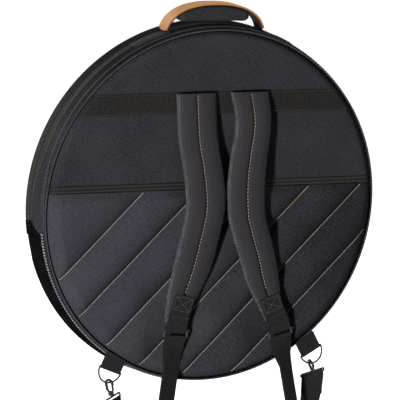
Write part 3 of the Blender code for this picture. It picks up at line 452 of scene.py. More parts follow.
def apply_modifier(obj, kind, **settings):
    """Add a modifier, set it and apply it."""
    take(obj)
    change = obj.modifiers.new(kind.lower(), kind)
    for key, value in settings.items():
        setattr(change, key, value)
    bpy.ops.object.modifier_apply(modifier=change.name)
    return obj


def mend(obj, outward=True, distance=MERGE):
    """Merge doubles and turn the faces outwards."""
    with editing(obj):
        bpy.ops.mesh.remove_doubles(threshold=distance)
        if outward:
            bpy.ops.mesh.normals_make_consistent(inside=False)
    return obj


def fit(obj, finish, body, stands_for=(), slot=None, smooth=40.0):
    """Give a piece its finish, its shading, its body and the nodes that it replaces."""
    take(obj)
    obj.data.materials.clear()
    obj.data.materials.append(finish)
    bpy.ops.object.shade_smooth_by_angle(angle=math.radians(smooth))
    if body:
        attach(obj, body)
    if stands_for:
        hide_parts(*stands_for)
    return obj


def join(name, parts):
    """Join parts into one mesh."""
    take(parts[0])
    for part in parts[1:]:
        part.select_set(True)
    if len(parts) > 1:
        bpy.ops.object.join()
    parts[0].name = name
    return parts[0]


print("selection helpers ready")


# %% Sums that the rules below share
def held(value):
    """A number held between zero and one."""
    return min(1.0, max(0.0, value))


def smooth_step(low, high, value):
    """Zero below low, one above high, and a smooth ramp between them."""
    share = held((value - low) / (high - low))
    return share * share * (3.0 - 2.0 * share)


def evenly(low, high, steps):
    """Numbers from low to high in even steps, both ends with them."""
    return [low + (high - low) * i / steps for i in range(steps + 1)]


def cubic(t, start, start_slope, end, end_slope):
    """A smooth way from start to end, with a given slope at each."""
    return (
        (2 * t ** 3 - 3 * t ** 2 + 1) * start + (t ** 3 - 2 * t ** 2 + t) * start_slope
        + (3 * t ** 2 - 2 * t ** 3) * end + (t ** 3 - t ** 2) * end_slope
    )


def square_to(way, axis):
    """The part of a way that is square to an axis, one unit long."""
    return (way - way.dot(axis) * axis).normalized()


print("ramp at a half:", smooth_step(0.0, 1.0, 0.5))


# %% Cloth laid by a rule
def lay_cloth(name, columns, rows, place, size=(1.0, 1.0)):
    """A grid laid by place(u, v), with its surface map in metres."""
    clear_selection()
    bpy.ops.mesh.primitive_grid_add(x_subdivisions=columns, y_subdivisions=rows, size=2)
    obj = bpy.context.active_object
    obj.name = name
    for vert in obj.data.vertices:
        vert.co = place((vert.co.x + 1) / 2, (vert.co.y + 1) / 2)
    width, length = size
    for corner in obj.data.uv_layers.active.data:
        corner.uv = (corner.uv.x * width, corner.uv.y * length)
    return obj


def map_flat(obj):
    """Lay the surface map flat in the plane of the panels."""
    layer = obj.data.uv_layers.active or obj.data.uv_layers.new(name="UVMap")
    for loop in obj.data.loops:
        place = obj.data.vertices[loop.vertex_index].co
        layer.data[loop.index].uv = (place.x, place.z)
    return obj


def map_round(obj, radius=RIM_RADIUS):
    """Wrap the surface map round the rim: across the depth, and along the arc."""
    layer = obj.data.uv_layers.active or obj.data.uv_layers.new(name="UVMap")
    for face in obj.data.polygons:
        corners = [obj.data.vertices[index].co for index in face.vertices]
        turns = [math.atan2(place.z - DISC_Z, place.x) for place in corners]
        for index, place, turn in zip(face.loop_indices, corners, turns):
            while turn - turns[0] > math.pi:
                turn -= 2 * math.pi
            while turn - turns[0] < -math.pi:
                turn += 2 * math.pi
            layer.data[index].uv = (place.y, turn * radius)
    return obj


def spin_rim(name, profile, start, end, step=1.5):
    """Spin a ring of (radius, y) points about the bag's axis, angles in degrees."""
    clear_selection()
    bpy.ops.mesh.primitive_circle_add(vertices=len(profile), radius=1.0, fill_type="NGON")
    obj = bpy.context.active_object
    obj.name = name
    first = math.radians(start)
    for vert, (radius, y) in zip(obj.data.vertices, profile):
        vert.co = (radius * math.cos(first), y, DISC_Z + radius * math.sin(first))
    with editing(obj):
        if end - start == FULL_TURN:
            bpy.ops.mesh.delete(type="ONLY_FACE")
            bpy.ops.mesh.select_all(action="SELECT")
        bpy.ops.mesh.spin(
            steps=math.ceil((end - start) / step), angle=math.radians(end - start),
            center=(0.0, 0.0, DISC_Z), axis=(0.0, 1.0, 0.0),
        )
    mend(obj)
    return map_round(obj)


def polar(radius, angle, y):
    """A point at an angle in degrees round the bag's axis."""
    turn = math.radians(angle)
    return Vector((radius * math.cos(turn), y, DISC_Z + radius * math.sin(turn)))


print("cloth and rim helpers ready")

# %% [markdown]
# ## Stitches
# A seam is hundreds of short threads. One stitch is a small five-sided spindle that dips at
# both ends, a few dozen faces at most. It is modelled once, then each copy is laid along its
# seam, and the copies are joined so that a seam is one piece.

# %% One stitch, copied along a seam
STITCH_THREAD = 0.00045


def copy_model(name, model, places, flip=False):
    """One mesh of many copies of a model, each at its (place, turn)."""
    base = [vert.co.copy() for vert in model.data.vertices]
    rings = [tuple(face.vertices) for face in model.data.polygons]
    if flip:
        rings = [ring[::-1] for ring in rings]
    verts, faces = [], []
    for place, turn in places:
        start = len(verts)
        verts += [place + turn @ point for point in base]
        faces += [tuple(start + index for index in ring) for ring in rings]
    mesh = bpy.data.meshes.new(name)
    mesh.from_pydata(verts, [], faces)
    return add_object(name, mesh)


def one_stitch(length, thread):
    """A short thread along X that dips at both ends."""
    clear_selection()
    bpy.ops.mesh.primitive_cylinder_add(
        vertices=5, radius=thread, depth=length, end_fill_type="TRIFAN",
        rotation=(0.0, math.pi / 2, 0.0),
    )
    bpy.ops.object.transform_apply(location=True, rotation=True, scale=True)
    obj = bpy.context.active_object
    for place in (0.28, -0.28):
        with editing(obj):
            bpy.ops.mesh.bisect(plane_co=(length * place, 0, 0), plane_no=(1, 0, 0))
    for vert in obj.data.vertices:
        if abs(vert.co.x) > length * 0.4:
            vert.co.z -= thread * 1.3
            vert.co.y *= 0.6
    return obj


def stitch_line(name, points, outward, pitch, finish, body, share, thread=STITCH_THREAD):
    """Lay stitches along a row of points; outward(point) is the way out of the cloth."""
    spans = [(b - a).length for a, b in zip(points, points[1:])]
    total = sum(spans)
    count = max(1, int(total / pitch))
    places = []
    travelled, span = 0.0, 0
    for i in range(count):
        target = (i + 0.5) * total / count
        while span < len(spans) - 1 and travelled + spans[span] < target:
            travelled += spans[span]
            span += 1
        share_along = (target - travelled) / max(spans[span], 1e-9)
        here = points[span].lerp(points[span + 1], share_along)
        along = (points[span + 1] - points[span]).normalized()
        out = square_to(outward(here), along)
        places.append((here, Matrix((along, out.cross(along), out)).transposed()))
    model = one_stitch(pitch * share, thread)
    seam = copy_model(name, model, places)
    seam.data.uv_layers.new(name="UVMap")
    bpy.data.objects.remove(model)
    return fit(seam, finish, body, smooth=50.0)


def facing_back(point):
    """Out of the bag's back."""
    return Vector((0.0, -1.0, 0.0))


def facing_rim(point):
    """Out of the rim."""
    return Vector((point.x, 0.0, point.z - DISC_Z)).normalized()


print("stitches ready")

# %% [markdown]
# ## The padded back
# The back is foam between two cloths, sewn into a corded seam all round. A disc with a
# bevelled edge would look like a plate, so the cloth is laid as two domes: rows of points
# follow the circle, and the surface rolls over at the edge and goes down into the seam.

# %% Round cloth that rolls into its seam
PANEL_RADIUS = 0.2946
BACK_FACE = -0.040
SEAM_EDGE = 0.0342
BACK_LINING = 0.0302
ROLL = 0.013


def round_span(low, high, u, v):
    """A place (x, z) in the part of the panel's disc between two heights."""
    bottom, top = math.asin(low / PANEL_RADIUS), math.asin(high / PANEL_RADIUS)
    z = PANEL_RADIUS * math.sin(bottom + (top - bottom) * v)
    half = math.sqrt(max(0.0, PANEL_RADIUS * PANEL_RADIUS - z * z))
    return half * math.sin(math.pi * (u - 0.5)), z


def edge_roll(x, z, width=ROLL):
    """One over the flat of a panel, falling to zero in its round seam."""
    inside = held((PANEL_RADIUS - math.hypot(x, z)) / width)
    return math.sin(math.pi / 2 * inside) ** 0.8


def panel_cloth(name, low, high, surface, columns, rows):
    """One cloth over the disc between two heights; surface(x, z) gives its y."""
    def place(u, v):
        x, z = round_span(low, high, u, v)
        return Vector((x, surface(x, z), DISC_Z + z))
    return lay_cloth(name, columns, rows, place)


def panel_pad(name, low, high, outer, inner, columns=120, rows=120):
    """Two cloths laid from the same rows and sewn together round their edge."""
    pad = join(name, [
        panel_cloth(name, low, high, surface, columns, rows) for surface in (outer, inner)
    ])
    mend(pad)
    return map_flat(pad)


def back_outer(x, z):
    """The back's outer cloth: a shallow crown that rolls over at the edge."""
    crown = 0.0012 * (1 - (math.hypot(x, z) / PANEL_RADIUS) ** 2)
    return -SEAM_EDGE - (-BACK_FACE - SEAM_EDGE) * edge_roll(x, z, width=0.012) - crown * 0.2


def back_inner(x, z):
    """The back's lining."""
    return -SEAM_EDGE + (SEAM_EDGE - BACK_LINING) * edge_roll(x, z)


back = panel_pad("back_padding", -PANEL_RADIUS, PANEL_RADIUS, back_outer, back_inner)
fit(back, CHARCOAL, "case", ["back_panel"], "charcoal_fabric")
print("back pad:", len(back.data.polygons), "faces")

# %% [markdown]
# ## Upper skin and strap band
# A second cloth covers the back above the strap band, and the band is a length of wide
# ribbed webbing sewn straight across. Both end in the round seam, so they are laid with the
# same rule as the back and only stand a little prouder.

# %% Upper skin and band
BAND_TOP = 0.195
BAND_LOW = BAND_TOP - 0.037
POCKET_TOP = 0.031
BACK_CLOTH = 0.0403
SKIN_SEAM = 0.0352
BAND_SEAM = 0.0360


def back_sheet(name, low, high, surface, thickness, columns, rows):
    """A cloth over the back between two heights, given its thickness inwards."""
    sheet = panel_cloth(name, low, high, surface, columns, rows)
    mend(sheet, outward=False)
    map_flat(sheet)
    return apply_modifier(sheet, "SOLIDIFY", thickness=thickness, offset=-1.0)


def skin_surface(x, z):
    """The upper skin puffs a little and turns in at its lower hem."""
    hem = smooth_step(BAND_TOP, BAND_TOP + 0.006, z)
    puff = 0.0006 + 0.0024 * math.sqrt(hem)
    return -SKIN_SEAM - (BACK_CLOTH - SKIN_SEAM + puff) * edge_roll(x, z)


def band_surface(x, z):
    """The strap band is flat but for its rolled edges."""
    lip = held(min(z - BAND_LOW, BAND_TOP - z) / 0.0012)
    rise = BACK_CLOTH - BAND_SEAM + 0.0008 + 0.0006 * lip
    return -BAND_SEAM - rise * edge_roll(x, z, width=0.010)


skin = back_sheet(
    "upper_skin", BAND_TOP + 0.0003, PANEL_RADIUS, skin_surface, 0.0007, 120, 60,
)
fit(skin, CHARCOAL, "case", ["back_upper_skin"], "charcoal_fabric")
band = back_sheet("strap_band", BAND_LOW, BAND_TOP, band_surface, 0.0008, 120, 20)
fit(band, ANCHOR, "case", ["strap_anchor_band"], "anchor_webbing")
print("skin and band:", len(skin.data.polygons), len(band.data.polygons), "faces")

# %% [markdown]
# ## The quilted pocket
# Below the hem the cloth is quilted: straight seams at 45 degrees hold down soft rolls of
# wadding. Cloth simulation could puff it, but the seams must stay where they are sewn, so
# each point's height comes from how far it lies from the nearest seam, and small puckers
# run across the seam beside the thread, as where a real one is pulled tight.

# %% Quilted rolls
QUILT_SEAMS = (-0.157, -0.056, 0.047, 0.145, 0.243, 0.337)
QUILT_EDGES = (-0.345, *QUILT_SEAMS, 0.430)
QUILT_VALLEY = -0.0414
QUILT_PUFF = 0.0158
QUILT_LEAN = 1.5
QUILT_GROOVE = 0.0016
POCKET_SEAM = 0.0354
HOOK_PRESSES = ((-0.064, -0.190), (0.122, -0.199))


def quilt_height(x, z):
    """How high the wadding stands, from 0 on a seam to 1 in the middle of a roll."""
    place = x - z
    below = max(seam for seam in QUILT_EDGES if seam <= place)
    above = min(seam for seam in QUILT_EDGES if seam > place)
    share = held((place - below - QUILT_GROOVE) / (above - below - 2.0 * QUILT_GROOVE))
    roll = (1.0 - abs(2.0 * share ** QUILT_LEAN - 1.0) ** 2.1) ** 0.66
    return roll, min(place - below, above - place) / math.sqrt(2.0)


def quilt_pucker(x, z, gap):
    """Small folds across a seam, fading out beside it."""
    run = (x + z) / math.sqrt(2.0)
    fold = math.sin(run * 610.0 + 2.0 * math.sin(run * 93.0)) + 0.6 * math.sin(run * 371.0 + 1.3)
    return fold * math.exp(-gap / 0.0075) * (1.0 - math.exp(-gap / 0.0018))


def pocket_surface(x, z):
    """Outer face of the quilted pocket."""
    roll, gap = quilt_height(x, z)
    hem = smooth_step(0.0, 0.016, POCKET_TOP - z) ** 0.7
    rim = edge_roll(x, z, width=0.022)
    pressed = max(
        math.exp(-(((x - hook_x) / 0.055) ** 4 + ((z - hook_z) / 0.060) ** 4))
        for hook_x, hook_z in HOOK_PRESSES
    )
    puff = QUILT_PUFF * roll * (0.25 + 0.75 * hem) * (1.0 - 0.62 * pressed)
    wrinkle = 0.00032 * quilt_pucker(x, z, gap)
    sag = 0.0004 * math.sin(x * 41.0 + 1.0) * math.sin(z * 37.0 - x * 15.0)
    return -POCKET_SEAM + (QUILT_VALLEY + POCKET_SEAM - puff - wrinkle + sag) * rim


POCKET_COLUMNS = 330
POCKET_BACK = -0.0344
THREAD_SHIFT = 0.0014


def pocket_place(u, v):
    """A point of the pocket's outer face; the column nearest to a seam is drawn onto it."""
    x, z = round_span(-PANEL_RADIUS, POCKET_TOP, u, v)
    half = math.sqrt(max(0.0, PANEL_RADIUS ** 2 - z * z))
    cell = half * math.pi * math.cos(math.pi * (u - 0.5)) / POCKET_COLUMNS
    for seam in QUILT_SEAMS:
        gap = seam + z + THREAD_SHIFT - x
        if abs(gap) <= cell / 2:
            x += gap
            break
    return Vector((x, pocket_surface(x, z), DISC_Z + z))


pocket = lay_cloth("quilted_pocket", POCKET_COLUMNS, 270, pocket_place)
mend(pocket, outward=False)
with editing(pocket, "EDGE", "DESELECT"):
    bpy.ops.mesh.select_non_manifold()
    bpy.ops.mesh.extrude_edges_move(TRANSFORM_OT_translate={"value": (0.0, 0.0010, 0.0)})
    bpy.ops.mesh.edge_face_add()
for vert in pocket.data.vertices:
    if vert.select:
        vert.co.y = POCKET_BACK
mend(pocket)
map_flat(pocket)
fit(pocket, QUILTED, "case", ["back_pocket_panel"], "quilted_fabric")
print("quilt:", len(pocket.data.polygons), "faces")


# %% Quilting thread
def quilt_thread(name, low, high, steps, margin, place, outward):
    """The tan thread along one seam, between two heights; place(z) gives its x and y."""
    points = []
    for z in evenly(low, high, steps):
        x, y = place(z)
        if math.hypot(x, z) < PANEL_RADIUS - margin:
            points.append(Vector((x, y, DISC_Z + z)))
    if len(points) > 8:
        stitch_line(name, points, outward, 0.0042, TAN_THREAD, "case", 0.74, 0.00046)


def on_pocket(seam):
    """Beside a seam's valley, on the pocket."""
    def place(z):
        x = seam + z + THREAD_SHIFT
        return x, pocket_surface(x, z) - 0.0009
    return place


for i, seam in enumerate(QUILT_SEAMS):
    quilt_thread(
        "quilt_thread_" + str(i), -0.2935, POCKET_TOP - 0.002, 400, 0.002, on_pocket(seam),
        facing_back,
    )
print("quilt seams:", len(QUILT_SEAMS))

# %% [markdown]
# ## Pocket hem
# The pocket's upper edge is bound with a narrow folded strip, held by two rows of stitches.
# It is a strip laid with rounded lips, and the two rows are laid on top of it.

# %% Pocket hem
HEM_LOW = POCKET_TOP + 0.0003
HEM_HIGH = HEM_LOW + 0.0125
HEM_ROWS = (HEM_LOW + 0.003, HEM_HIGH - 0.003)


def hem_surface(x, z):
    """The folded hem, thick in the middle and tight under its two rows of thread."""
    lip = math.sqrt(held(min(z - HEM_LOW, HEM_HIGH - z) / 0.0016))
    groove = sum(math.exp(-((z - row) / 0.0009) ** 2) for row in HEM_ROWS)
    rise = BACK_CLOTH - BAND_SEAM + 0.0008 + 0.0022 * lip - 0.0004 * groove
    return -BAND_SEAM - rise * edge_roll(x, z, width=0.012)


hem = back_sheet("pocket_hem", HEM_LOW, HEM_HIGH, hem_surface, 0.0012, 120, 28)
fit(hem, ANCHOR, "case", ["back_pocket_hem"], "webbing")


def level_thread(name, z, surface, pitch, finish, thread=STITCH_THREAD):
    """A level row of stitches across the back."""
    half = math.sqrt(PANEL_RADIUS ** 2 - z * z) - 0.004
    points = [
        Vector((x, surface(x, z) - thread * 0.6, DISC_Z + z)) for x in evenly(-half, half, 200)
    ]
    return stitch_line(name, points, facing_back, pitch, finish, "case", 0.7, thread)


for label, z in zip(("low", "high"), HEM_ROWS):
    level_thread("hem_thread_" + label, z, hem_surface, 0.0036, DIM_THREAD)
for label, z in zip(("low", "high"), (BAND_LOW + 0.0025, BAND_TOP - 0.0025)):
    level_thread("band_thread_" + label, z, band_surface, 0.0042, BLACK_THREAD, 0.0007)
print("hem stitched")

# %% [markdown]
# ## Piping
# A cord wrapped in cloth is sewn into the round seam, and a second, finer fold runs beside
# it. Each is spun about the bag's axis from a small circle. The fold behind is black twill that
# also stands for the shade in the crease between cord and panel: partly painted shade.

# %% Piping behind
def round_profile(radius, y, wire, count=12):
    """A small circle of (radius, y) points."""
    turn = 2 * math.pi / count
    return [
        (radius + wire * math.cos(i * turn), y + wire * math.sin(i * turn)) for i in range(count)
    ]


back_cord = spin_rim(
    "back_cord", round_profile(0.2983, BACK_FACE + 0.0005, 0.0014), 0.0, FULL_TURN,
)
fit(back_cord, PIPING, "case", ["back_piping"], "piping")
# Partly painted shade: a black fold that fills the seam and darkens the crease beside the cord.
back_fold = spin_rim("back_seam_fold", round_profile(0.2964, -0.0362, 0.0019, 10), 0.0, FULL_TURN)
fit(back_fold, TWILL, "case", slot="black_twill")
print("piping:", len(back_cord.data.polygons), "faces")

# %% [markdown]
# ## The rim
# The rim is padded cloth that swells between its seams. Above the fold it has a charcoal
# strip on the back's side of the main zip and a narrow strip on the lid's side; below it
# runs one wall of ribbed black twill. Where only the section matters it is spun about the
# bag's axis, and where the edge slants or the cloth is ribbed it is laid by a rule.

# %% How far the rim stands out
GUSSET_RADIUS = 0.2995
GUSSET_INNER = 0.2951
GUSSET_HALF = 0.0346
ZIP_Y = 0.019
ZIP_END = 9.01
ZIP_BED = 0.3001
PULL_BED = 0.0032
WALL_SWELL = 0.0082
UPPER_ARC = (-ZIP_END, 180 + ZIP_END)
LOWER_ARC = (180.1 + ZIP_END, 359.9 - ZIP_END)


def upper_radius(y):
    """Radius of the rim above the fold: a wide swell, the zip's bed, a narrow swell."""
    wide = 0.0046 * (1 - ((y + 0.009) / 0.0257) ** 2)
    narrow = 0.0064 * (1 - ((y - 0.0302) / 0.0070) ** 2)
    if y < 0.012:
        return GUSSET_RADIUS + max(wide, 0.0006 * smooth_step(-0.0346, -0.030, y))
    return max(ZIP_BED, GUSSET_RADIUS + max(wide, narrow))


def lower_radius(y, angle=270.0):
    """Radius of the twill wall: fullest beside the front seam, pressed in past the zip's ends."""
    turn = max(0.0, y - 0.024) / 0.0106
    full = 0.0003 + WALL_SWELL * smooth_step(-0.034, 0.022, y) * (1 - 0.8 * turn ** 2)
    past_zip = min(angle % 360.0 - 180.0 - ZIP_END, 360.0 - ZIP_END - angle % 360.0)
    bed = smooth_step(0.0115, 0.0060, abs(y - ZIP_Y)) * smooth_step(8.6, 5.4, past_zip)
    return GUSSET_RADIUS + full + (PULL_BED - full) * bed * (full > PULL_BED)


def wall_profile(low, high, surface, count=22):
    """A strip's section: a swelling outer face and a flat inner one."""
    face = [(surface(y), y) for y in evenly(low, high, count)]
    return face + [(GUSSET_INNER, high), (GUSSET_INNER, low)]


rear_wall = spin_rim(
    "rear_rim_strip", wall_profile(-GUSSET_HALF, 0.0155, upper_radius), *UPPER_ARC,
)
fit(rear_wall, RIM_CLOTH, "case", ["rear_gusset"], "charcoal_fabric")
lid_wall = spin_rim(
    "lid_rim_strip", wall_profile(0.0225, GUSSET_HALF, upper_radius, 12), *UPPER_ARC,
)
fit(lid_wall, RIM_CLOTH, "lid", ["lid_gusset"], "charcoal_fabric")
print("upper rim:", len(rear_wall.data.polygons) + len(lid_wall.data.polygons), "faces")


# %% Ribbed twill wall
RIB_PITCH = 0.0052
RIB_SLANT = 0.45


def edge_at(edge, angle):
    """The y of an edge, which is one number or a rule for every angle."""
    return edge(angle) if callable(edge) else edge


def rim_cloth(name, start, end, low, high, surface, columns, rows, thickness):
    """Cloth laid round the rim between two edges; surface(y, angle) gives its radius."""
    def place(u, v):
        angle = start + (end - start) * v
        low_y, high_y = edge_at(low, angle), edge_at(high, angle)
        y = low_y + (high_y - low_y) * u
        return polar(surface(y, angle), angle, y)
    sheet = lay_cloth(name, columns, rows, place)
    map_round(sheet)
    return apply_modifier(sheet, "SOLIDIFY", thickness=thickness, offset=-1.0)


def rib_height(y, angle):
    """Rounded ribs that slant across the wall."""
    arc = math.radians(angle) * GUSSET_RADIUS
    return abs(math.sin(math.pi * (arc + RIB_SLANT * y) / RIB_PITCH))


def twill_surface(y, angle):
    """The twill wall with its ribs."""
    edge = smooth_step(GUSSET_HALF, GUSSET_HALF - 0.003, abs(y))
    return lower_radius(y, angle) + 0.00045 * edge * rib_height(y, angle) - 0.0003


lower_wall = rim_cloth(
    "lower_rim_wall", *LOWER_ARC, -GUSSET_HALF, GUSSET_HALF, twill_surface, 24, 1020, 0.0030,
)
fit(lower_wall, TWILL, "case", ["lower_gusset"], "black_twill")
print("twill wall:", len(lower_wall.data.polygons), "faces")

# %% [markdown]
# ## Strip ends
# Where the zip ends, black twill is folded over the charcoal strip and sewn down along a
# slanting edge. The fold is laid like the wall, but its edge moves with the angle.


# %% Slanting twill folds
def fold_surface(y, angle):
    """Just proud of the strip and its tape."""
    return upper_radius(min(y, 0.0155)) + 0.0009 + 0.0003 * rib_height(y, angle)


def left_fold_low(angle):
    """The slanting edge of the left fold, from the zip at 184 degrees to the back."""
    return 0.013 - 0.047 * smooth_step(184.8, 188.2, angle)


for side, start, end, low in (
    ("left", 184.6, 189.1, left_fold_low),
    ("right", -9.1, -4.6, lambda a: left_fold_low(180.0 - a)),
):
    fold = rim_cloth(
        side + "_strip_end", start, end, low, 0.0153, fold_surface, 14, 60, 0.0008,
    )
    fit(fold, TWILL, "case", slot="black_twill")
    cap = rim_cloth(
        side + "_lid_strip_end", start, end, 0.0227, GUSSET_HALF,
        lambda y, a: upper_radius(y) + 0.0009 + 0.0003 * rib_height(y, a), 8, 60, 0.0008,
    )
    fit(cap, TWILL, "lid", slot="black_twill")
print("strip ends folded")

# %% [markdown]
# ## Main zip
# Both tapes of the main zip are ribbed and olive grey, and the zip's coil lies under their
# inner edges. The tape is a thin strip over the rim, and one tooth is a rounded block that
# is modelled once and copied round the arc, a few dozen faces each.

# %% Tapes
TAPE_LIFT = 0.0006
CHAIN_TOP = 0.3027


def tape_edge(angle):
    """The rear tape's outer edge: wide over the top, narrow at both ends."""
    away = min(abs(angle - 180.0), abs(angle))
    from_end = away if -1 < angle < 181 else 0.0
    return 0.0105 - 0.0200 * smooth_step(1.0, 21.0, from_end)


def tape_radius(y):
    """The tapes follow the rim and come up over the chain, where they nearly meet."""
    over = smooth_step(0.0070, 0.0035, abs(y - ZIP_Y))
    return max(upper_radius(y) + TAPE_LIFT, GUSSET_RADIUS + (CHAIN_TOP - GUSSET_RADIUS) * over)


rear_tape = rim_cloth(
    "rear_zip_tape", -5.0, 185.0, tape_edge, ZIP_Y - 0.0008, lambda y, a: tape_radius(y), 16,
    260, 0.0005,
)
fit(rear_tape, TAPE, "case", slot="zip_tape")
lid_tape = rim_cloth(
    "lid_zip_tape", -5.0, 185.0, ZIP_Y + 0.0008, 0.0335, lambda y, a: tape_radius(y), 14, 260,
    0.0005,
)
fit(lid_tape, TAPE, "lid", slot="zip_tape")
for side, start, end in (("left", 184.4, 189.1), ("right", -9.1, -4.4)):
    for body, low, high in (("case", 0.0148, ZIP_Y - 0.0007), ("lid", ZIP_Y + 0.0007, 0.0232)):
        end_tape = rim_cloth(
            side + "_" + body + "_tape_end", start, end, low, high,
            lambda y, a: tape_radius(y) + 0.0003, 4, 12, 0.0006,
        )
        fit(end_tape, TWILL, body, slot="black_twill")
print("tapes:", len(rear_tape.data.polygons) + len(lid_tape.data.polygons), "faces")


# %% One tooth, copied round an arc
def one_tooth(length, width, height):
    """A zip tooth: a bevelled block whose head is pinched, X along, Y across."""
    clear_selection()
    bpy.ops.mesh.primitive_cube_add(size=1.0)
    obj = bpy.context.active_object
    for vert in obj.data.vertices:
        vert.co.x *= length
        vert.co.y *= width
        vert.co.z *= height
    with editing(obj):
        bpy.ops.mesh.bevel(offset=min(length, height) * 0.30, segments=1)
    for vert in obj.data.vertices:
        if vert.co.y > 0:
            vert.co.x *= 0.72
    return obj


def tooth_row(name, start, end, y, radius, pitch, model, finish, body, side, nodes=()):
    """Copies of a tooth round the rim, heads facing the other side of the chain."""
    count = int(math.radians(end - start) * radius / pitch)
    places = []
    for i in range(count):
        angle = start + (end - start) * (i + 0.5 * (side > 0)) / count
        turn = math.radians(angle)
        out = Vector((math.cos(turn), 0.0, math.sin(turn)))
        along = Vector((-math.sin(turn), 0.0, math.cos(turn)))
        across = Vector((0.0, -side, 0.0))
        places.append((polar(radius, angle, y), Matrix((along, across, out)).transposed()))
    row = mend(copy_model(name, model, places, flip=side < 0), distance=1e-7)
    return fit(row, finish, body, nodes, smooth=30.0)


tooth = one_tooth(0.0017, 0.0030, 0.0018)
for label, body, side in (("rear", "case", -1), ("lid", "lid", 1)):
    tooth_row(
        label + "_zip_teeth", -8.6, 188.6, ZIP_Y + side * 0.00135, 0.3011, 0.0025, tooth,
        BLACK_AND_SHADED_TEETH, body, side, ["main_zip_" + label + "_stringer"],
    )
bpy.data.objects.remove(tooth)
print("main zip's teeth made")


# %% Rows of stitches along the tapes
def rim_thread(name, start, end, y_of, surface, pitch, finish, body, thread):
    """Stitches round the rim; y_of is one number or a rule for every angle."""
    points = []
    for angle in evenly(start, end, int((end - start) * 2)):
        y = edge_at(y_of, angle)
        points.append(polar(surface(y) + thread * 0.6, angle, y))
    return stitch_line(name, points, facing_rim, pitch, finish, body, 0.7, thread)


for row in (
    ("rear_tape_thread", -2.0, 182.0, 0.0138, tape_radius, 0.0050, BLACK_THREAD, "case", 0.0010),
    ("rear_tape_edge_thread", 4.0, 176.0, lambda a: tape_edge(a) + 0.0018, tape_radius, 0.0042,
     BLACK_THREAD, "case", 0.0006),
    ("lid_tape_thread", -4.0, 184.0, 0.0300, tape_radius, 0.0042, BLACK_THREAD, "lid", 0.0006),
    ("rear_strip_thread", -90.0, 270.0,
     lambda a: -0.0262 - 0.0087 * smooth_step(66.0, 98.0, abs(a - 90.0)),
     lambda y: max(upper_radius(y), lower_radius(y)), 0.0036, DIM_THREAD, "case", 0.0005),
    # Painted shade: thick black thread drawn as the dark line of a crease in the strip.
    ("rear_strip_crease_shade", -1.0, 181.0, -0.0280, upper_radius, 0.0060, BLACK_THREAD, "case",
     0.0009),
):
    rim_thread(*row)
print("main zip made")

# %% [markdown]
# ## Side zip
# A second zip with coarse, bright teeth runs down the left of the twill wall, close to the
# back. Its teeth are larger beads, and the tape under them is black. The row nearer the lid is
# painted shade: the same beads in near black.

# %% Side zip
SIDE_START = 187.2
SIDE_END = 261.0
SIDE_CHAIN_Y = -0.0295

side_tape = rim_cloth(
    "side_zip_tape", SIDE_START - 1.0, SIDE_END + 1.0, -0.0344, -0.0186,
    lambda y, a: lower_radius(y) + 0.0007, 12, 120, 0.0008,
)
fit(side_tape, TWILL, "case", slot="black_twill")
bead = one_tooth(0.0025, 0.0066, 0.0024)
tooth_row(
    "side_zip_teeth_back", SIDE_START, SIDE_END, SIDE_CHAIN_Y - 0.0012, 0.3021, 0.0050, bead,
    TEETH, "case", -1, ["side_zip_stringer"],
)
# Painted shade: the front row is the same beads in near black, for the shadow of the far side.
tooth_row(
    "side_zip_teeth_front_shade", SIDE_START, SIDE_END, SIDE_CHAIN_Y + 0.0022, 0.3016, 0.0050, bead,
    BLACK_AND_SHADED_TEETH, "case", 1,
)
bpy.data.objects.remove(bead)
print("side zip made")

# %% [markdown]
# ## Front
# The picture doesn't show the front. Its lid mirrors the back: a padded plain panel with a
# bare place for a badge, above a quilted lower panel, both with a corded seam.


# %% Lid, lower front and their piping
FOLD = -0.047
FRONT_SEAM = 0.0369
FRONT_EDGE = FRONT_SEAM - 0.0006
FRONT_LINING = 0.0304
FRONT_CORD_Y = 0.0375
PIPING_CENTRE = 0.2975


def from_fold(z, width):
    """Zero on the fold between lid and lower front, one beyond a width from it."""
    return math.sqrt(smooth_step(0.0, width, abs(z - FOLD)))


def lid_outer(x, z):
    """The lid's outer cloth, a mirror of the back."""
    return FRONT_EDGE + 0.0037 * edge_roll(x, z) * from_fold(z, 0.010)


def front_quilt_outer(x, z):
    """The lower front: the back's quilting, mirrored."""
    roll, gap = quilt_height(-x, z)
    puff = 0.0020 + 0.0070 * roll + 0.0003 * quilt_pucker(-x, z, gap)
    return FRONT_EDGE + puff * edge_roll(x, z, width=0.020) * from_fold(z, 0.012)


def front_inner(x, z):
    """The lining of the lid and of the lower front."""
    return FRONT_EDGE - (FRONT_SEAM - FRONT_LINING) * edge_roll(x, z) * from_fold(z, 0.010)


lid = panel_pad("lid_padding", FOLD + 0.0004, PANEL_RADIUS, lid_outer, front_inner, 120, 100)
fit(lid, CHARCOAL, "lid", ["lid_panel"], "charcoal_fabric")
front_quilt = panel_pad(
    "front_quilted_panel", -PANEL_RADIUS, FOLD - 0.0004, front_quilt_outer, front_inner, 240,
    180,
)
fit(front_quilt, QUILTED, "case", ["front_lower_panel"], "quilted_fabric")
for label, body, arc in (("lid", "lid", UPPER_ARC), ("front_lower", "case", LOWER_ARC)):
    cord = spin_rim(label + "_cord", round_profile(PIPING_CENTRE, FRONT_CORD_Y, 0.0025), *arc)
    fit(cord, PIPING, body, [label + "_piping"], "piping")
for label, body, arc in (("lid", "lid", UPPER_ARC), ("front", "case", LOWER_ARC)):
    seam = spin_rim(label + "_seam_fold", round_profile(0.2953, 0.0350, 0.0014, 10), *arc)
    fit(seam, TWILL, body, slot="black_twill")
print("lid and lower front:", len(lid.data.polygons) + len(front_quilt.data.polygons), "faces")


# %% Cloth hinge of the lid
FOLD_REACH = 0.012
HINGE_Y = FRONT_SEAM - 0.0030


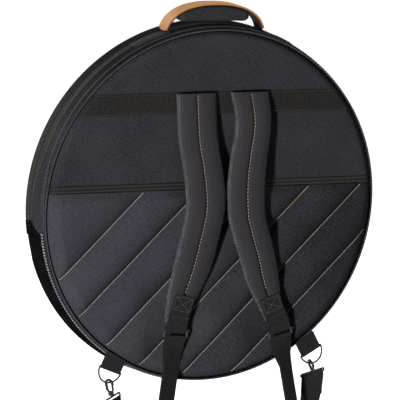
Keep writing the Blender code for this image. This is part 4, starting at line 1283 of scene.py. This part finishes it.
def hinge_place(u, v):
    """A point of the cloth that joins the lid to the lower front, inside both."""
    return Vector((0.280 * (2 * u - 1), HINGE_Y, DISC_Z + FOLD + FOLD_REACH * (2 * v - 1)))


hinge_cloth = lay_cloth("lid_hinge_cloth", 60, 12, hinge_place, (0.56, 2 * FOLD_REACH))
apply_modifier(hinge_cloth, "SOLIDIFY", thickness=0.0010, offset=0.0)
fit(hinge_cloth, CHARCOAL, None, slot="charcoal_fabric")
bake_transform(hinge_cloth)
print("lid hinged")


# %% Front quilting thread
def on_front(seam):
    """On a seam of the lower front."""
    def place(z):
        x = -(seam + z)
        return x, front_quilt_outer(x, z) + 0.0010
    return place


for i, seam in enumerate(QUILT_SEAMS):
    quilt_thread(
        "front_thread_" + str(i), -0.2925, FOLD - 0.003, 300, 0.003, on_front(seam),
        lambda point: Vector((0.0, 1.0, 0.0)),
    )
print("front made")

# %% [markdown]
# ## Dividers
# Two padded leaves keep the cymbals apart. They are thin quilted pads with a bound edge,
# sewn to the rim along the bottom, and are seen only when the lid is open.


# %% Dividers
def divider_outline(angle):
    """The leaf's radius: sewn to the wall below, free above."""
    from_low = abs(((angle - 270.0 + 180.0) % 360.0) - 180.0)
    return 0.2946 if from_low <= 50.0 else 0.2885


def leaf(middle, sign):
    """One face of a leaf, laid in rings."""
    def place(u, v):
        angle = FULL_TURN * v
        outline = divider_outline(angle)
        radius = outline * math.sin(math.pi / 2 * u)
        x = radius * math.cos(math.radians(angle))
        z = radius * math.sin(math.radians(angle))
        rim = math.sqrt(max(0.0, 1 - (radius / outline) ** 14))
        soft = 0.0003 * math.sin(x * 44.0) * math.sin(z * 44.0)
        return Vector((x, middle + sign * (0.0017 + soft) * rim, DISC_Z + z))
    return lay_cloth("leaf", 40, 180, place)


for name, low in (("rear_divider", -0.01267), ("front_divider", 0.00867)):
    middle = low + 0.002
    divider = join(name + "_pad", [leaf(middle, -1.0), leaf(middle, 1.0)])
    mend(divider)
    map_flat(divider)
    fit(divider, LINING, "case", [name], "lining")
    binding = spin_rim(
        name + "_binding", round_profile(0.2875, middle, 0.0021, 10), -39.0, 219.0, step=3.0,
    )
    fit(binding, TWILL, "case", slot="black_twill")
print("dividers made")

# %% [markdown]
# ## Webbing and ribbons
# Webbing is flat and keeps its width, so it is laid along a route: a row of places, each
# with its direction across. A curve with a bevel would twist at the turns round the bars.
# A grid whose rows follow the route keeps the twist in hand, and Solidify gives it body.

# %% A ribbon laid along a route
WEBBING_WIDTH = 0.037
WEBBING_THICKNESS = 0.0014


def resample(route, step):
    """Walk a route in even steps, smoothly between its knots."""
    points = [Vector(point) for point, across in route]
    sides = [Vector(across) for point, across in route]
    lengths = [0.0]
    for a, b in zip(points, points[1:]):
        lengths.append(lengths[-1] + (b - a).length)
    count = max(2, int(lengths[-1] / step))
    result = []
    span = 0
    for i in range(count + 1):
        target = lengths[-1] * i / count
        while span < len(points) - 2 and lengths[span + 1] < target:
            span += 1
        gap = max(lengths[span + 1] - lengths[span], 1e-9)
        t = min(1.0, (target - lengths[span]) / gap)
        before = points[max(0, span - 1)]
        after = points[min(len(points) - 1, span + 2)]
        start, end = points[span], points[span + 1]
        start_slope = (end - before) * min(1.0, gap / max((end - before).length, 1e-9))
        end_slope = (after - start) * min(1.0, gap / max((after - start).length, 1e-9))
        place = cubic(t, start, start_slope, end, end_slope)
        result.append((place, sides[span].lerp(sides[span + 1], t).normalized()))
    return result


def lay_ribbon(name, route, width=WEBBING_WIDTH, thickness=WEBBING_THICKNESS, columns=8,
               edge=0.0003):
    """Lay webbing on a route, its rows across the way along."""
    clear_selection()
    rows = len(route) - 1
    bpy.ops.mesh.primitive_grid_add(x_subdivisions=columns, y_subdivisions=rows, size=2)
    obj = bpy.context.active_object
    obj.name = name
    points = [point for point, across in route]
    run, travelled = [0.0], 0.0
    for a, b in zip(points, points[1:]):
        travelled += (b - a).length
        run.append(travelled)
    for index, vert in enumerate(obj.data.vertices):
        row, column = divmod(index, columns + 1)
        point, across = route[row]
        along = (points[min(rows, row + 1)] - points[max(0, row - 1)]).normalized()
        vert.co = point + square_to(across, along) * ((column / columns - 0.5) * width)
    for loop in obj.data.loops:
        row, column = divmod(loop.vertex_index, columns + 1)
        place = ((column / columns - 0.5) * width, run[row])
        obj.data.uv_layers.active.data[loop.index].uv = place
    apply_modifier(obj, "SOLIDIFY", thickness=thickness, offset=0.0)
    return apply_modifier(
        obj, "BEVEL", width=edge, segments=1, limit_method="ANGLE",
        angle_limit=math.radians(60.0),
    )


def sewn_line(name, route, offset, lift, finish, body, pitch, thread):
    """Stitches along a ribbon at an offset from its middle."""
    points, ways = [], []
    middle = [point for point, across in route]
    for i, (point, across) in enumerate(route):
        along = (middle[min(len(middle) - 1, i + 1)] - middle[max(0, i - 1)]).normalized()
        side = square_to(across, along)
        face = along.cross(side)
        points.append(point + side * offset + face * lift)
        ways.append(face)

    def out_of(place):
        nearest = min(range(len(points)), key=lambda k: (points[k] - place).length_squared)
        return ways[nearest] * (1 if lift >= 0 else -1)
    return stitch_line(name, points, out_of, pitch, finish, body, 0.7, thread)


def cross_box(name, corner, along, across, length, width, out, finish, body):
    """A box stitch with a cross: four sides and two diagonals."""
    a, b = corner, corner + across * width
    c, d = b + along * length, corner + along * length
    parts = []
    for i, (start, end) in enumerate(((a, b), (b, c), (c, d), (d, a), (a, c), (b, d))):
        steps = [start.lerp(end, k / 8) for k in range(9)]
        parts.append(
            stitch_line(name + str(i), steps, lambda p: out, 0.0030, finish, None, 0.75))
    return fit(join(name, parts), finish, body, smooth=50.0)


print("ribbon helpers ready")

# %% [markdown]
# ## Carry handle
# Tan leather lies over black webbing, bent over a padded grip, and both ends go down to
# webbing patches sewn on the rim. The arch is a superellipse with square shoulders. Every
# layer follows the same arch at its own depth, so they nest without touching.

# %% Handle arch
HANDLE_Y = -0.004
HANDLE_SPAN = 0.180
HANDLE_RISE = 0.0547
SHOULDER = 0.87
LEATHER_WIDTH = 0.034
FOOT_LEVEL = 0.28566
PATCH_OUTER = 0.3024
PATCH_SEAT = 0.3010
CORNER_CUT = 0.0032


def arch(inset, turn):
    """A point inside the arch; turn in degrees from +X."""
    angle = math.radians(turn)
    level = math.copysign(abs(math.cos(angle)) ** SHOULDER, math.cos(angle))
    rise = abs(math.sin(angle)) ** SHOULDER
    x = (HANDLE_SPAN / 2 - inset) * level
    return Vector((x, HANDLE_Y, DISC_Z + FOOT_LEVEL + (HANDLE_RISE - inset) * rise))


def arch_route(inset, first, count=90):
    """The arch as a route for a ribbon, left foot first."""
    turns = evenly(180.0 - first, first, count)
    return [(arch(inset, turn), Vector((0.0, 1.0, 0.0))) for turn in turns]


def turn_at(inset, height):
    """The arch's turn at a height above its feet."""
    return math.degrees(math.asin((height / (HANDLE_RISE - inset)) ** (1 / SHOULDER)))


leather_route = resample(arch_route(0.0016, turn_at(0.0016, 0.0085)), 0.0025)
leather = lay_ribbon(
    "handle_leather_cover", leather_route, LEATHER_WIDTH, 0.0030, columns=10, edge=0.0009,
)
for vert in leather.data.vertices:
    foot = smooth_step(0.014, 0.0, vert.co.z - DISC_Z - FOOT_LEVEL - 0.0080)
    vert.co.z += CORNER_CUT * foot * (abs(vert.co.y - HANDLE_Y) / (LEATHER_WIDTH / 2)) ** 3
fit(leather, LEATHER, "handle", ["handle_leather"], "tan_leather")
for label, offset in (("back", 0.0142), ("front", -0.0142)):
    sewn_line(
        "leather_thread_" + label, leather_route[2:-2], offset, -0.0018, TAN_THREAD, "handle",
        0.0036, 0.00038,
    )
print("leather:", len(leather.data.polygons), "faces")


# %% Handle webbing and its patches
ROOT_INSET = 0.0030 + 0.0003 + 0.0007
ROOT_ANGLE = math.degrees(math.acos((HANDLE_SPAN / 2 - ROOT_INSET) / PATCH_OUTER))

webbing_route = resample(arch_route(ROOT_INSET, turn_at(ROOT_INSET, 0.0042)), 0.0025)
handle_band = lay_ribbon("handle_band", webbing_route, LEATHER_WIDTH - 0.0018)
fit(handle_band, WEBBING, None, ["handle_webbing"], "webbing")
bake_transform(handle_band)

for side, sign in (("right", 1), ("left", -1)):
    near, far = ROOT_ANGLE + 0.75, ROOT_ANGLE - 11.4
    if sign < 0:
        near, far = 180.0 - near, 180.0 - far
    low_angle, high_angle = sorted((near, far))
    patch = rim_cloth(
        side + "_handle_patch", low_angle, high_angle, HANDLE_Y - 0.017, HANDLE_Y + 0.017,
        lambda y, a: max(upper_radius(y), PATCH_SEAT) + 0.0014, 12, 30, 0.0014,
    )
    fit(patch, WEBBING, "case", ["handle_" + side + "_patch"], "webbing")
    start, end = far + sign * 0.6, far + sign * 6.0
    a, b = (start, HANDLE_Y - 0.010), (start, HANDLE_Y + 0.010)
    c, d = (end, HANDLE_Y + 0.010), (end, HANDLE_Y - 0.010)
    box = []
    for (from_angle, from_y), (to_angle, to_y) in ((a, b), (d, c), (a, d), (b, c), (a, c), (b, d)):
        points = []
        for k in range(11):
            angle = from_angle + (to_angle - from_angle) * k / 10
            y = from_y + (to_y - from_y) * k / 10
            points.append(polar(max(upper_radius(y), PATCH_SEAT) + 0.0018, angle, y))
        box.append(stitch_line(
            "box", points, facing_rim, 0.0030, BLACK_THREAD, None, 0.75, 0.0004))
    fit(join(side + "_patch_thread", box), BLACK_THREAD, "case", smooth=50.0)
print("handle band and patches made")

# %% [markdown]
# ## Padded grip
# The grip is a foam roll inside a cloth sleeve, held flat below by its own weight of
# stuffing and pushed out at both ends, where the sleeve is turned in. It is laid as rings
# along the handle: each ring is a soft oblong that reaches the webbing above.


# %% Grip
GRIP_HALF = 0.0625
GRIP_WIDTH = 0.030


def grip_place(u, v):
    """A point on the grip: u round the section, v along it."""
    end = abs(2 * v - 1)
    x = (2 * v - 1) * (GRIP_HALF + 0.0015)
    close = max(0.0, 1 - end ** 16) ** 0.5
    swell = 1 + 0.05 * math.exp(-((end - 0.86) / 0.09) ** 2)
    reach = min(abs(x), GRIP_HALF) / (HANDLE_SPAN / 2 - 0.0050)
    turn = math.degrees(math.acos(min(1.0, reach ** (1 / SHOULDER))))
    top = arch(0.0050, turn).z
    bottom = 0.0012 - 0.0010 * math.exp(-((end - 0.84) / 0.12) ** 2) + 0.0016 * end ** 6
    middle = (top + bottom) / 2
    angle = 2 * math.pi * u
    c, s = math.cos(angle), math.sin(angle)
    square = 0.30 if s > 0 else 0.62
    wide = GRIP_WIDTH / 2 * math.copysign(abs(c) ** square, c) * swell * (0.18 + 0.82 * close)
    tall = (top - bottom) / 2 * math.copysign(abs(s) ** square, s) * (0.10 + 0.90 * close)
    fold = 0.00035 * math.sin(x * 520.0 + 3.0 * c) * math.exp(-((1 - end) / 0.10) ** 2)
    return Vector((x, HANDLE_Y - wide * (1 + fold * 30), middle + tall + fold))


grip = lay_cloth("padded_grip", 48, 110, grip_place, (0.09, 0.125))
mend(grip, distance=0.00002)
with editing(grip, "EDGE", "DESELECT"):
    bpy.ops.mesh.select_non_manifold()
    bpy.ops.mesh.edge_face_add()
mend(grip, distance=0.00002)
fit(grip, GRIP_CLOTH, "handle", ["handle_grip"], "grip_fabric")
print("grip:", len(grip.data.polygons), "faces")

# %% [markdown]
# ## Shoulder straps
# A strap is a long pad: mesh below and round its sides, charcoal cloth on its face, and a
# stitched channel down the middle that makes two soft ridges. Its middle line is a table of
# places read from the picture, and each row of points is a section across the pad.

# %% Strap tables and sections
PAD_WIDTH = 0.068
SOFT_SPREAD = 1.05
STRAP_DROP = 0.385
STRAP_STANDOFF = 0.025
STRAP_STEPS = 26
BAND_FACE = -0.0417
FIT_GAP = 0.0003
PAD_LINING = 0.0037
PAD_FACE = PAD_LINING + FIT_GAP + 0.009

LEFT_TABLE = [
    (0.00, -0.607, 0.00, 1.00), (0.20, -0.559, 0.40, 1.00), (0.31, -0.471, 0.72, 1.00),
    (0.40, -0.412, 0.92, 1.00), (0.50, -0.380, 1.00, 1.00), (0.656, -0.529, 0.96, 1.00),
    (0.775, -0.660, 0.80, 0.97), (0.884, -0.807, 0.52, 0.80), (0.947, -0.890, 0.40, 0.64),
    (1.00, -0.946, 0.32, 0.56),
]
RIGHT_TABLE = [
    (0.00, 0.820, 0.00, 0.97), (0.10, 0.890, 0.36, 0.93), (0.17, 0.880, 0.50, 0.93),
    (0.26, 0.790, 0.68, 0.95), (0.38, 0.705, 0.90, 0.97), (0.53, 0.742, 1.00, 0.97),
    (0.61, 0.872, 0.98, 0.97), (0.71, 1.080, 0.88, 0.95), (0.83, 1.310, 0.66, 0.87),
    (0.92, 1.510, 0.48, 0.70), (0.985, 1.680, 0.38, 0.58), (1.025, 1.800, 0.33, 0.55),
]
SIDES = {
    "left": {
        "table": LEFT_TABLE, "lock_lean": -5.5, "ring_shares": (-0.571, -0.905),
        "ring_lean": -22.8, "hook_down": (0.241, 0.0, -0.970),
        "hook_plane": (0.5, -0.866, 0.0), "eye_turn": 29.0, "loop_share": 0.62, "twist": 26.0,
    },
    "right": {
        "table": RIGHT_TABLE, "lock_lean": 13.2, "ring_shares": (0.662, -0.868),
        "ring_lean": 29.4, "hook_down": (0.400, 0.550, -0.735),
        "hook_plane": (0.0, -1.0, 0.0), "eye_turn": 0.0, "loop_share": 0.45, "twist": 38.0,
    },
}


def read_table(table, share):
    """Read a table at a share, smoothly between its rows."""
    last = len(table) - 1
    i = 0
    while i < last - 1 and share > table[i + 1][0]:
        i += 1
    rows = [table[max(0, i - 1)], table[i], table[i + 1], table[min(last, i + 2)]]
    span = rows[2][0] - rows[1][0]
    t = (share - rows[1][0]) / span
    result = []
    for column in range(1, len(table[0])):
        slopes = []
        for low, high in ((rows[0], rows[2]), (rows[1], rows[3])):
            slopes.append((high[column] - low[column]) / (high[0] - low[0]) * span)
        result.append(cubic(t, rows[1][column], slopes[0], rows[2][column], slopes[1]))
    return result


def strap_middle(table, share):
    """Middle of the strap's inner face, and its width there."""
    side, standoff, width = read_table(table, share)
    y = BAND_FACE - FIT_GAP - standoff * STRAP_STANDOFF
    z = DISC_Z + BAND_TOP - FIT_GAP - share * STRAP_DROP
    return Vector((side * PAD_WIDTH, y, z)), width * PAD_WIDTH * SOFT_SPREAD


def strap_sheet(name, table, half_share, height, columns, rows):
    """Cloth over a strap: height(a, share, width) stands out of its inner face."""
    def place(u, v):
        share = table[-1][0] * v
        middle, width = strap_middle(table, share)
        a = 2 * u - 1
        return middle + Vector((
            a * width / 2 * half_share, -height(a, share, width), 0.0,
        ))
    return lay_cloth(name, columns, rows, place, (PAD_WIDTH, STRAP_DROP))


print("strap tables:", len(LEFT_TABLE), len(RIGHT_TABLE), "rows")


# %% Strap pads
RIDGE = 0.0036
SIDE_SEAM = 0.0092
FACE_SHARE = 0.86


def shoulder_round(reach, start):
    """One as far as start, and a quarter circle down to zero at the edge."""
    return math.sqrt(max(0.0, 1 - max(0.0, (reach - start) / (1 - start)) ** 2))


def ridge_height(a, share, width):
    """Face of the pad: two ridges beside the stitched channel, tight at both ends."""
    reach = abs(a)
    shoulder = shoulder_round(reach, 0.62)
    channel = math.exp(-(a * width / 2 / 0.0042) ** 2)
    end = smooth_step(0.0, 0.016, share) * (1 - smooth_step(0.86, 0.93, share) * 0.75)
    swell = 0.55 + 0.45 * math.sin(math.pi * min(1.0, reach / 0.92)) ** 0.8
    pucker = 0.00022 * math.sin(share * STRAP_DROP * 760.0 + 2.0 * a) * math.exp(
        -((reach * width / 2 - 0.0045) / 0.006) ** 2)
    edge_fold = 0.00018 * math.sin(share * STRAP_DROP * 900.0) * smooth_step(0.75, 0.95, reach)
    return SIDE_SEAM + shoulder * (
        0.0012 + (RIDGE * swell - 0.0030 * channel) * (0.35 + 0.65 * end)) + pucker + edge_fold


def under_height(a, share, width):
    """The underside: mesh, slightly cushioned."""
    return 0.0001 + 0.0040 * (1 - shoulder_round(abs(a), 0.80))


def side_height(a, share, width):
    """Top of the mesh body, under the face cloth."""
    return SIDE_SEAM - 0.0004 - 0.0051 * (1 - shoulder_round(abs(a), 0.86))


def pad_thread(side, label, a, reach, pitch, finish, share_of_pitch, thread):
    """A row of stitches down a strap's face; a is its place across, from -1 to 1."""
    table = SIDES[side]["table"]
    points = []
    for share in evenly(0.004, 0.004 + reach, 160):
        middle, width = strap_middle(table, share)
        height = ridge_height(a, share, width) + 0.0008
        points.append(middle + Vector((a * width / 2 * FACE_SHARE, -height, 0.0)))
    stitch_line(
        side + "_pad_" + label, points, facing_back, pitch, finish, side + "_strap",
        share_of_pitch, thread,
    )


for side, spec in SIDES.items():
    table = spec["table"]
    face = strap_sheet(side + "_pad_face", table, FACE_SHARE, ridge_height, 56, 300)
    mend(face)
    apply_modifier(face, "SOLIDIFY", thickness=0.0012, offset=0.0)
    fit(face, STRAP_CLOTH, side + "_strap", [side + "_strap_pad"], "quilted_fabric")
    body = join(side + "_pad_body", [
        strap_sheet("top", table, 1.0, side_height, 36, 160),
        strap_sheet("under", table, 1.0, under_height, 36, 160),
    ])
    mend(body)
    fit(body, MESH, side + "_strap", [side + "_strap_lining"], "mesh_lining")
    pad_thread(side, "thread", 0.0, 0.866, 0.0058, TAN_THREAD, 0.56, 0.00052)
    for label, a in (("edge_thread_inner", -0.93), ("edge_thread_outer", 0.93)):
        pad_thread(side, label, a, table[-1][0] - 0.008, 0.0036, DIM_THREAD, 0.66, 0.00030)
    print(side, "strap:", len(face.data.polygons) + len(body.data.polygons), "faces")

# %% [markdown]
# ## Strap webbing, hooks and rings
# Webbing sewn on each pad goes round the top bar of a ladder lock. A second length starts
# sewn round the hook's eye, hangs in a loop, and comes up round the lock's lower bar. The
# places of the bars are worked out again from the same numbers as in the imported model.

# %% Routes round the bars
LOCK_DROP = 0.016
LOCK_BAR = 0.0018
LOCK_PITCH = 0.0095
RING_WIRE = 0.0015
RING_DEPTH = 0.023
RING_Y = -0.038
HOOK_LENGTH = 0.0016 + 0.0155 + 0.0065
EYE_WIRE = 0.0016
EYE_HEIGHT = 0.008
WEBBING_LIFT = PAD_FACE + 2 * FIT_GAP + WEBBING_THICKNESS / 2


def turn_round(bar, across, toward, wire, front_first=True, steps=14):
    """Half a turn of webbing round a bar, bulging towards a direction."""
    radius = wire + FIT_GAP + WEBBING_THICKNESS / 2
    front, away = square_to(Vector((0.0, -1.0, 0.0)), across), square_to(toward, across)
    points = []
    for angle in evenly(0.0, math.pi, steps):
        reach = front * math.cos(angle) + away * math.sin(angle)
        points.append((bar + reach * radius, across))
    return points if front_first else points[::-1]


def leaning(degrees):
    """The ways across and down, both turned in the plane of the back."""
    lean = math.radians(degrees)
    across = Vector((math.cos(lean), 0.0, math.sin(lean)))
    return across, Vector((math.sin(lean), 0.0, -math.cos(lean)))


def lock_places(spec):
    """Both bars of a ladder lock, its directions across and down."""
    table = spec["table"]
    middle, _ = strap_middle(table, table[-1][0])
    across, down = leaning(spec["lock_lean"])
    front = middle + Vector((0.0, -WEBBING_LIFT, 0.0))
    radius = LOCK_BAR + FIT_GAP + WEBBING_THICKNESS / 2
    top = front + Vector((0.0, radius, 0.0)) + down * LOCK_DROP
    return top, top + down * LOCK_PITCH, across, down


def ring_places(spec):
    """Middle of a ring's bar, the bar's direction and the bow's."""
    x, z = spec["ring_shares"]
    middle = Vector((x * RIM_RADIUS, RING_Y, DISC_Z + z * RIM_RADIUS))
    return middle, *leaning(spec["ring_lean"])


def ring_low(spec):
    """The lowest point of a ring's bow."""
    middle, bar, bow = ring_places(spec)
    half = (WEBBING_WIDTH + 2 * 0.0006 + 2 * RING_WIRE) / 2
    angle = math.atan2(-bow.z * RING_DEPTH, -bar.z * half)
    return middle + bar * half * math.cos(angle) + bow * RING_DEPTH * math.sin(angle)


def eye_places(spec):
    """The lower bar of a hook's eye, its direction across and the hook's down."""
    down = Vector(spec["hook_down"]).normalized()
    across = square_to(Vector((1.0, 0.0, 0.0)), down)
    across = Matrix.Rotation(math.radians(spec["eye_turn"]), 3, -down) @ across
    top = ring_low(spec) + down * (HOOK_LENGTH + FIT_GAP + EYE_WIRE)
    return top + down * EYE_HEIGHT, across


def strap_webbing_route(spec):
    """Down the pad's face, round the lock's top bar and back up."""
    table = spec["table"]
    last = table[-1][0]
    top_bar, _, across, down = lock_places(spec)
    first = last - 0.047 / STRAP_DROP
    route = []
    for share in evenly(first, last, 12):
        middle, _ = strap_middle(table, share)
        before, _ = strap_middle(table, share - 1.0 / STRAP_STEPS)
        along = middle - before
        normal = Vector((0.0, along.z, -along.y))
        side = normal.cross(along).normalized()
        route.append((middle + Vector((0.0, -WEBBING_LIFT, 0.0)), side))
    route += turn_round(top_bar, across, down, LOCK_BAR)
    route.append((route[-1][0] - down * LOCK_DROP / 2, across))
    return route


def lower_route(spec):
    """Round the eye, down in a loop, and up round the lock's lower bar."""
    eye_bar, eye_across = eye_places(spec)
    _, lock_bar, lock_across, lock_down = lock_places(spec)
    up = Vector((0.0, 0.0, 1.0))
    twist = math.radians(spec["twist"])
    x_axis = Vector((math.cos(twist), math.sin(twist), 0.0))
    over_eye = turn_round(eye_bar, eye_across, up, EYE_WIRE, front_first=False, steps=10)
    route = [(over_eye[0][0] - up * 0.036, eye_across)] + over_eye
    over_lock = turn_round(lock_bar, lock_across, -lock_down, LOCK_BAR, steps=10)
    leave, arrive = over_eye[-1][0], over_lock[0][0]
    bottom = eye_bar.z - 0.145
    reach = (arrive.z - bottom) / -lock_down.z
    lock_foot = arrive + lock_down * reach
    hook_foot = Vector((leave.x, leave.y, bottom))
    hook_foot.x = leave.x + (lock_foot.x - leave.x) * spec["loop_share"]
    for i in range(1, 7):
        share = i / 7
        eased = share * share * (3 - 2 * share)
        point = leave.lerp(hook_foot, share)
        point.x = leave.x + (hook_foot.x - leave.x) * eased
        route.append((point, eye_across.lerp(x_axis, share).normalized()))
    middle = (hook_foot + lock_foot) / 2
    half = (lock_foot - hook_foot) / 2
    for i in range(15):
        angle = math.pi * i / 14
        below = up * half.length * math.sin(angle)
        route.append((middle - half * math.cos(angle) - below, x_axis))
    for i in range(1, 10):
        share = i / 10
        turned = x_axis.lerp(lock_across, share ** 10)
        route.append((lock_foot.lerp(arrive, share), turned))
    route += over_lock
    for drop, turned in ((0.020, lock_across), (0.050, x_axis), (0.125, x_axis)):
        route.append((over_lock[-1][0] + lock_down * drop, turned))
    return route


print("routes ready")


# %% Webbing on the straps
BOX_ROWS = (2, 15)
BAR_ROW = 24
THREAD_LIFT = 0.0011

for side, spec in SIDES.items():
    route = resample(strap_webbing_route(spec), 0.0016)
    piece = lay_ribbon(side + "_sewn_webbing", route)
    fit(piece, WEBBING, side + "_strap", [side + "_strap_webbing"], "webbing")
    start, across = route[BOX_ROWS[0]]
    along = (route[BOX_ROWS[1]][0] - start).normalized()
    out = along.cross(across).normalized()
    if out.y > 0:
        out = -out
    corner = start - across * 0.0155 + out * THREAD_LIFT + along * 0.0010
    cross_box(
        side + "_cross_box", corner, along, across, 0.0235, 0.031, out, DIM_THREAD,
        side + "_strap",
    )
    fold_at = route[BAR_ROW][0] - across * 0.0165 + out * THREAD_LIFT
    bar = [fold_at + across * 0.033 * k / 8 for k in range(9)]
    stitch_line(
        side + "_webbing_bar", bar, facing_back, 0.0022, BLACK_THREAD, side + "_strap", 0.8,
        0.0006,
    )
print("strap webbing sewn")


# %% [markdown]
# ## Lower webbing
# The hook's eye, the hook, the ring and the case turn on each other, so the webbing is laid
# in four lengths that share their end rows.
# The first two end at a distance along it, and the third ends at the lowest row.

# %% Lower webbing
LOOP_STEP = 0.0022
EYE_END = 0.074
HOOK_END = 0.114
BEND_MARGIN = 0.006

for side, spec in SIDES.items():
    route = resample(lower_route(spec), LOOP_STEP)
    eye_bar, _ = eye_places(spec)
    _, lock_bar, _, _ = lock_places(spec)
    lowest = min(range(len(route)), key=lambda i: route[i][0].z)
    rows = [0, int(EYE_END / LOOP_STEP), int(HOOK_END / LOOP_STEP), lowest, len(route) - 1]
    ends = [eye_bar] + [route[row][0] for row in rows[1:4]]
    ends.append(lock_bar + Vector((0.0, 0.0, 0.010)))
    for i, label in enumerate(("eye", "hook", "ring", "lock")):
        piece = lay_ribbon(side + "_loop_webbing_" + label, route[rows[i]:rows[i + 1] + 1])
        fit(piece, WEBBING, None, [side + "_lower_webbing"] if i == 3 else (), "webbing")
        way = (ends[i + 1] - ends[i]).normalized() * BEND_MARGIN
        tuple(ends[i] + way)
        tuple(ends[i + 1] - way)
        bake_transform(piece)
    length = sum((b[0] - a[0]).length for a, b in zip(route, route[1:]))
    print(side, "loop webbing:", round(length, 3), "m")


# %% Ring tabs
TAB_LENGTH = 0.030
TAB_END = 0.2960
SEAM_DROP = 0.0014

for side, spec in SIDES.items():
    middle, bar, bow = ring_places(spec)
    turn = turn_round(middle, bar, bow, RING_WIRE)
    back = [(turn[0][0] - bow * TAB_LENGTH * (1 - i / 12), bar) for i in range(12)]
    front = [(turn[-1][0] - bow * TAB_LENGTH * i / 12, bar) for i in range(1, 13)]
    route = []
    for place, across in back + turn + front:
        inside = held((RIM_RADIUS - math.hypot(place.x, place.z - DISC_Z)) / 0.004)
        drop = SEAM_DROP * inside if place.y < middle.y else 0.0
        route.append((place - Vector((0.0, drop, 0.0)), across))
    tab = lay_ribbon(side + "_ring_tab_webbing", route)
    radial = Vector((middle.x, 0.0, middle.z - DISC_Z)).normalized()
    cut = Vector((0.0, 0.0, DISC_Z)) + radial * TAB_END
    with editing(tab):
        bpy.ops.mesh.bisect(plane_co=cut, plane_no=radial, clear_inner=True, use_fill=True)
    fit(tab, WEBBING, "case", [side + "_ring_tab"], "webbing")
print("ring tabs folded")

# %% [markdown]
# ## Metal and plastic
# The imported model's hooks, rings, locks and sliders have the right shapes, but their edges
# are sharp. A copy of each hook, gate, lock and slider is merged and bevelled, which is how a
# cast hook or a moulded lock looks in the hand, and the imported solid stays hidden behind it.
# The rings and the hooks' eyes keep their imported meshes in black metal.


# %% Bevelled copies of the hardware
def soften(node, name, finish, body, width, slot):
    """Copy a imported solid, merge its loose triangles and round its edges."""
    obj = add_object(name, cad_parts[node].data.copy())
    with editing(obj):
        bpy.ops.mesh.remove_doubles(threshold=MERGE)
        bpy.ops.mesh.customdata_custom_splitnormals_clear()
        bpy.ops.mesh.dissolve_limited(angle_limit=math.radians(2.0))
    apply_modifier(
        obj, "BEVEL", width=width, segments=3, limit_method="ANGLE",
        angle_limit=math.radians(38.0), use_clamp_overlap=True,
    )
    return fit(obj, finish, body, [node], slot, smooth=50.0)


for side in SIDES:
    for node, label, finish, width, slot in (
        ("_hook_frame", "_hook", BLACK_METAL, 0.0009, "black_metal"),
        ("_hook_gate", "_gate", BLACK_METAL, 0.0006, "black_metal"),
        ("_ladder_lock", "_lock", BLACK_PLASTIC, 0.0006, "black_plastic"),
    ):
        soften(side + node, side + label, finish, side + label, width, slot)
    for node in ("_d_ring", "_hook_eye"):
        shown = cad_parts[side + node]
        shown.data.materials.clear()
        shown.data.materials.append(BLACK_METAL)
for node in (
    "main_zip_slider_low", "main_zip_slider_high", "side_zip_slider", "main_zip_pull_low",
    "main_zip_pull_high", "side_zip_pull",
):
    body = node.replace("_zip", "")
    soften(node, node + "_cast", PAINTED_METAL, body, 0.00035, "black_metal")
print("hardware softened")

# %% [markdown]
# ## Light and floor
# The picture's light comes from the left, low and a little hard, and leaves deep shadows to
# the right of the straps. The key lamp stands there. A wide one above lights the handle, and
# another lights the lid, which faces away from the camera. Camera rays and glossy rays meet a
# white world and a white floor. All others meet dark ones, so white doesn't wash out the black.

# %% Lamps
def studio_lamp(name, power, size, place):
    """A square lamp that faces the bag."""
    light = bpy.data.lights.new(name, "AREA")
    light.energy = power
    light.size = size
    lamp = add_object(name, light)
    lamp.location = place
    aim = Vector((0.0, 0.0, DISC_Z)) - lamp.location
    lamp.rotation_euler = aim.to_track_quat("-Z", "Y").to_euler()


studio_lamp("key", 238.0, 0.42, (-3.55, -3.65, -0.75))
studio_lamp("top_lamp", 46.0, 1.5, (0.3, -0.1, 3.0))
studio_lamp("lid_lamp", 90.0, 1.6, (-0.6, 4.4, 0.9))
print("lamps ready")

# %% World and floor
def seen_directly(network):
    """One for camera and glossy rays, zero for those that light the bag."""
    rays = network.node("ShaderNodeLightPath")
    glossy = Value(network, rays.outputs["Is Glossy Ray"])
    return Value(network, rays.outputs["Is Camera Ray"]).at_least(glossy)


world = bpy.data.worlds.new("studio")
bpy.context.scene.world = world
world.use_nodes = True
sky = Network(world.node_tree)
backdrop = sky.tree.nodes["Background"]
backdrop.inputs["Color"].default_value = (1.0, 1.0, 1.0, 1.0)
sky.feed(backdrop.inputs["Strength"], seen_directly(sky) * 0.97 + 0.03)

clear_selection()
bpy.ops.mesh.primitive_plane_add(size=80.0, location=(0.0, 0.0, -1.2))
floor = bpy.context.active_object
floor.name = "floor"
pale = Finish("pale_floor", Roughness=0.9, Emission_Strength=0.97)
shown = seen_directly(pale)
pale.paint("Base Color", pale.blend(shown, (0.12, 0.12, 0.12), (0.8, 0.8, 0.8)))
pale.paint("Emission Color", pale.blend(shown, (0.0, 0.0, 0.0), (1.0, 1.0, 1.0)))
floor.data.materials.append(pale.material)
print("world and floor ready")
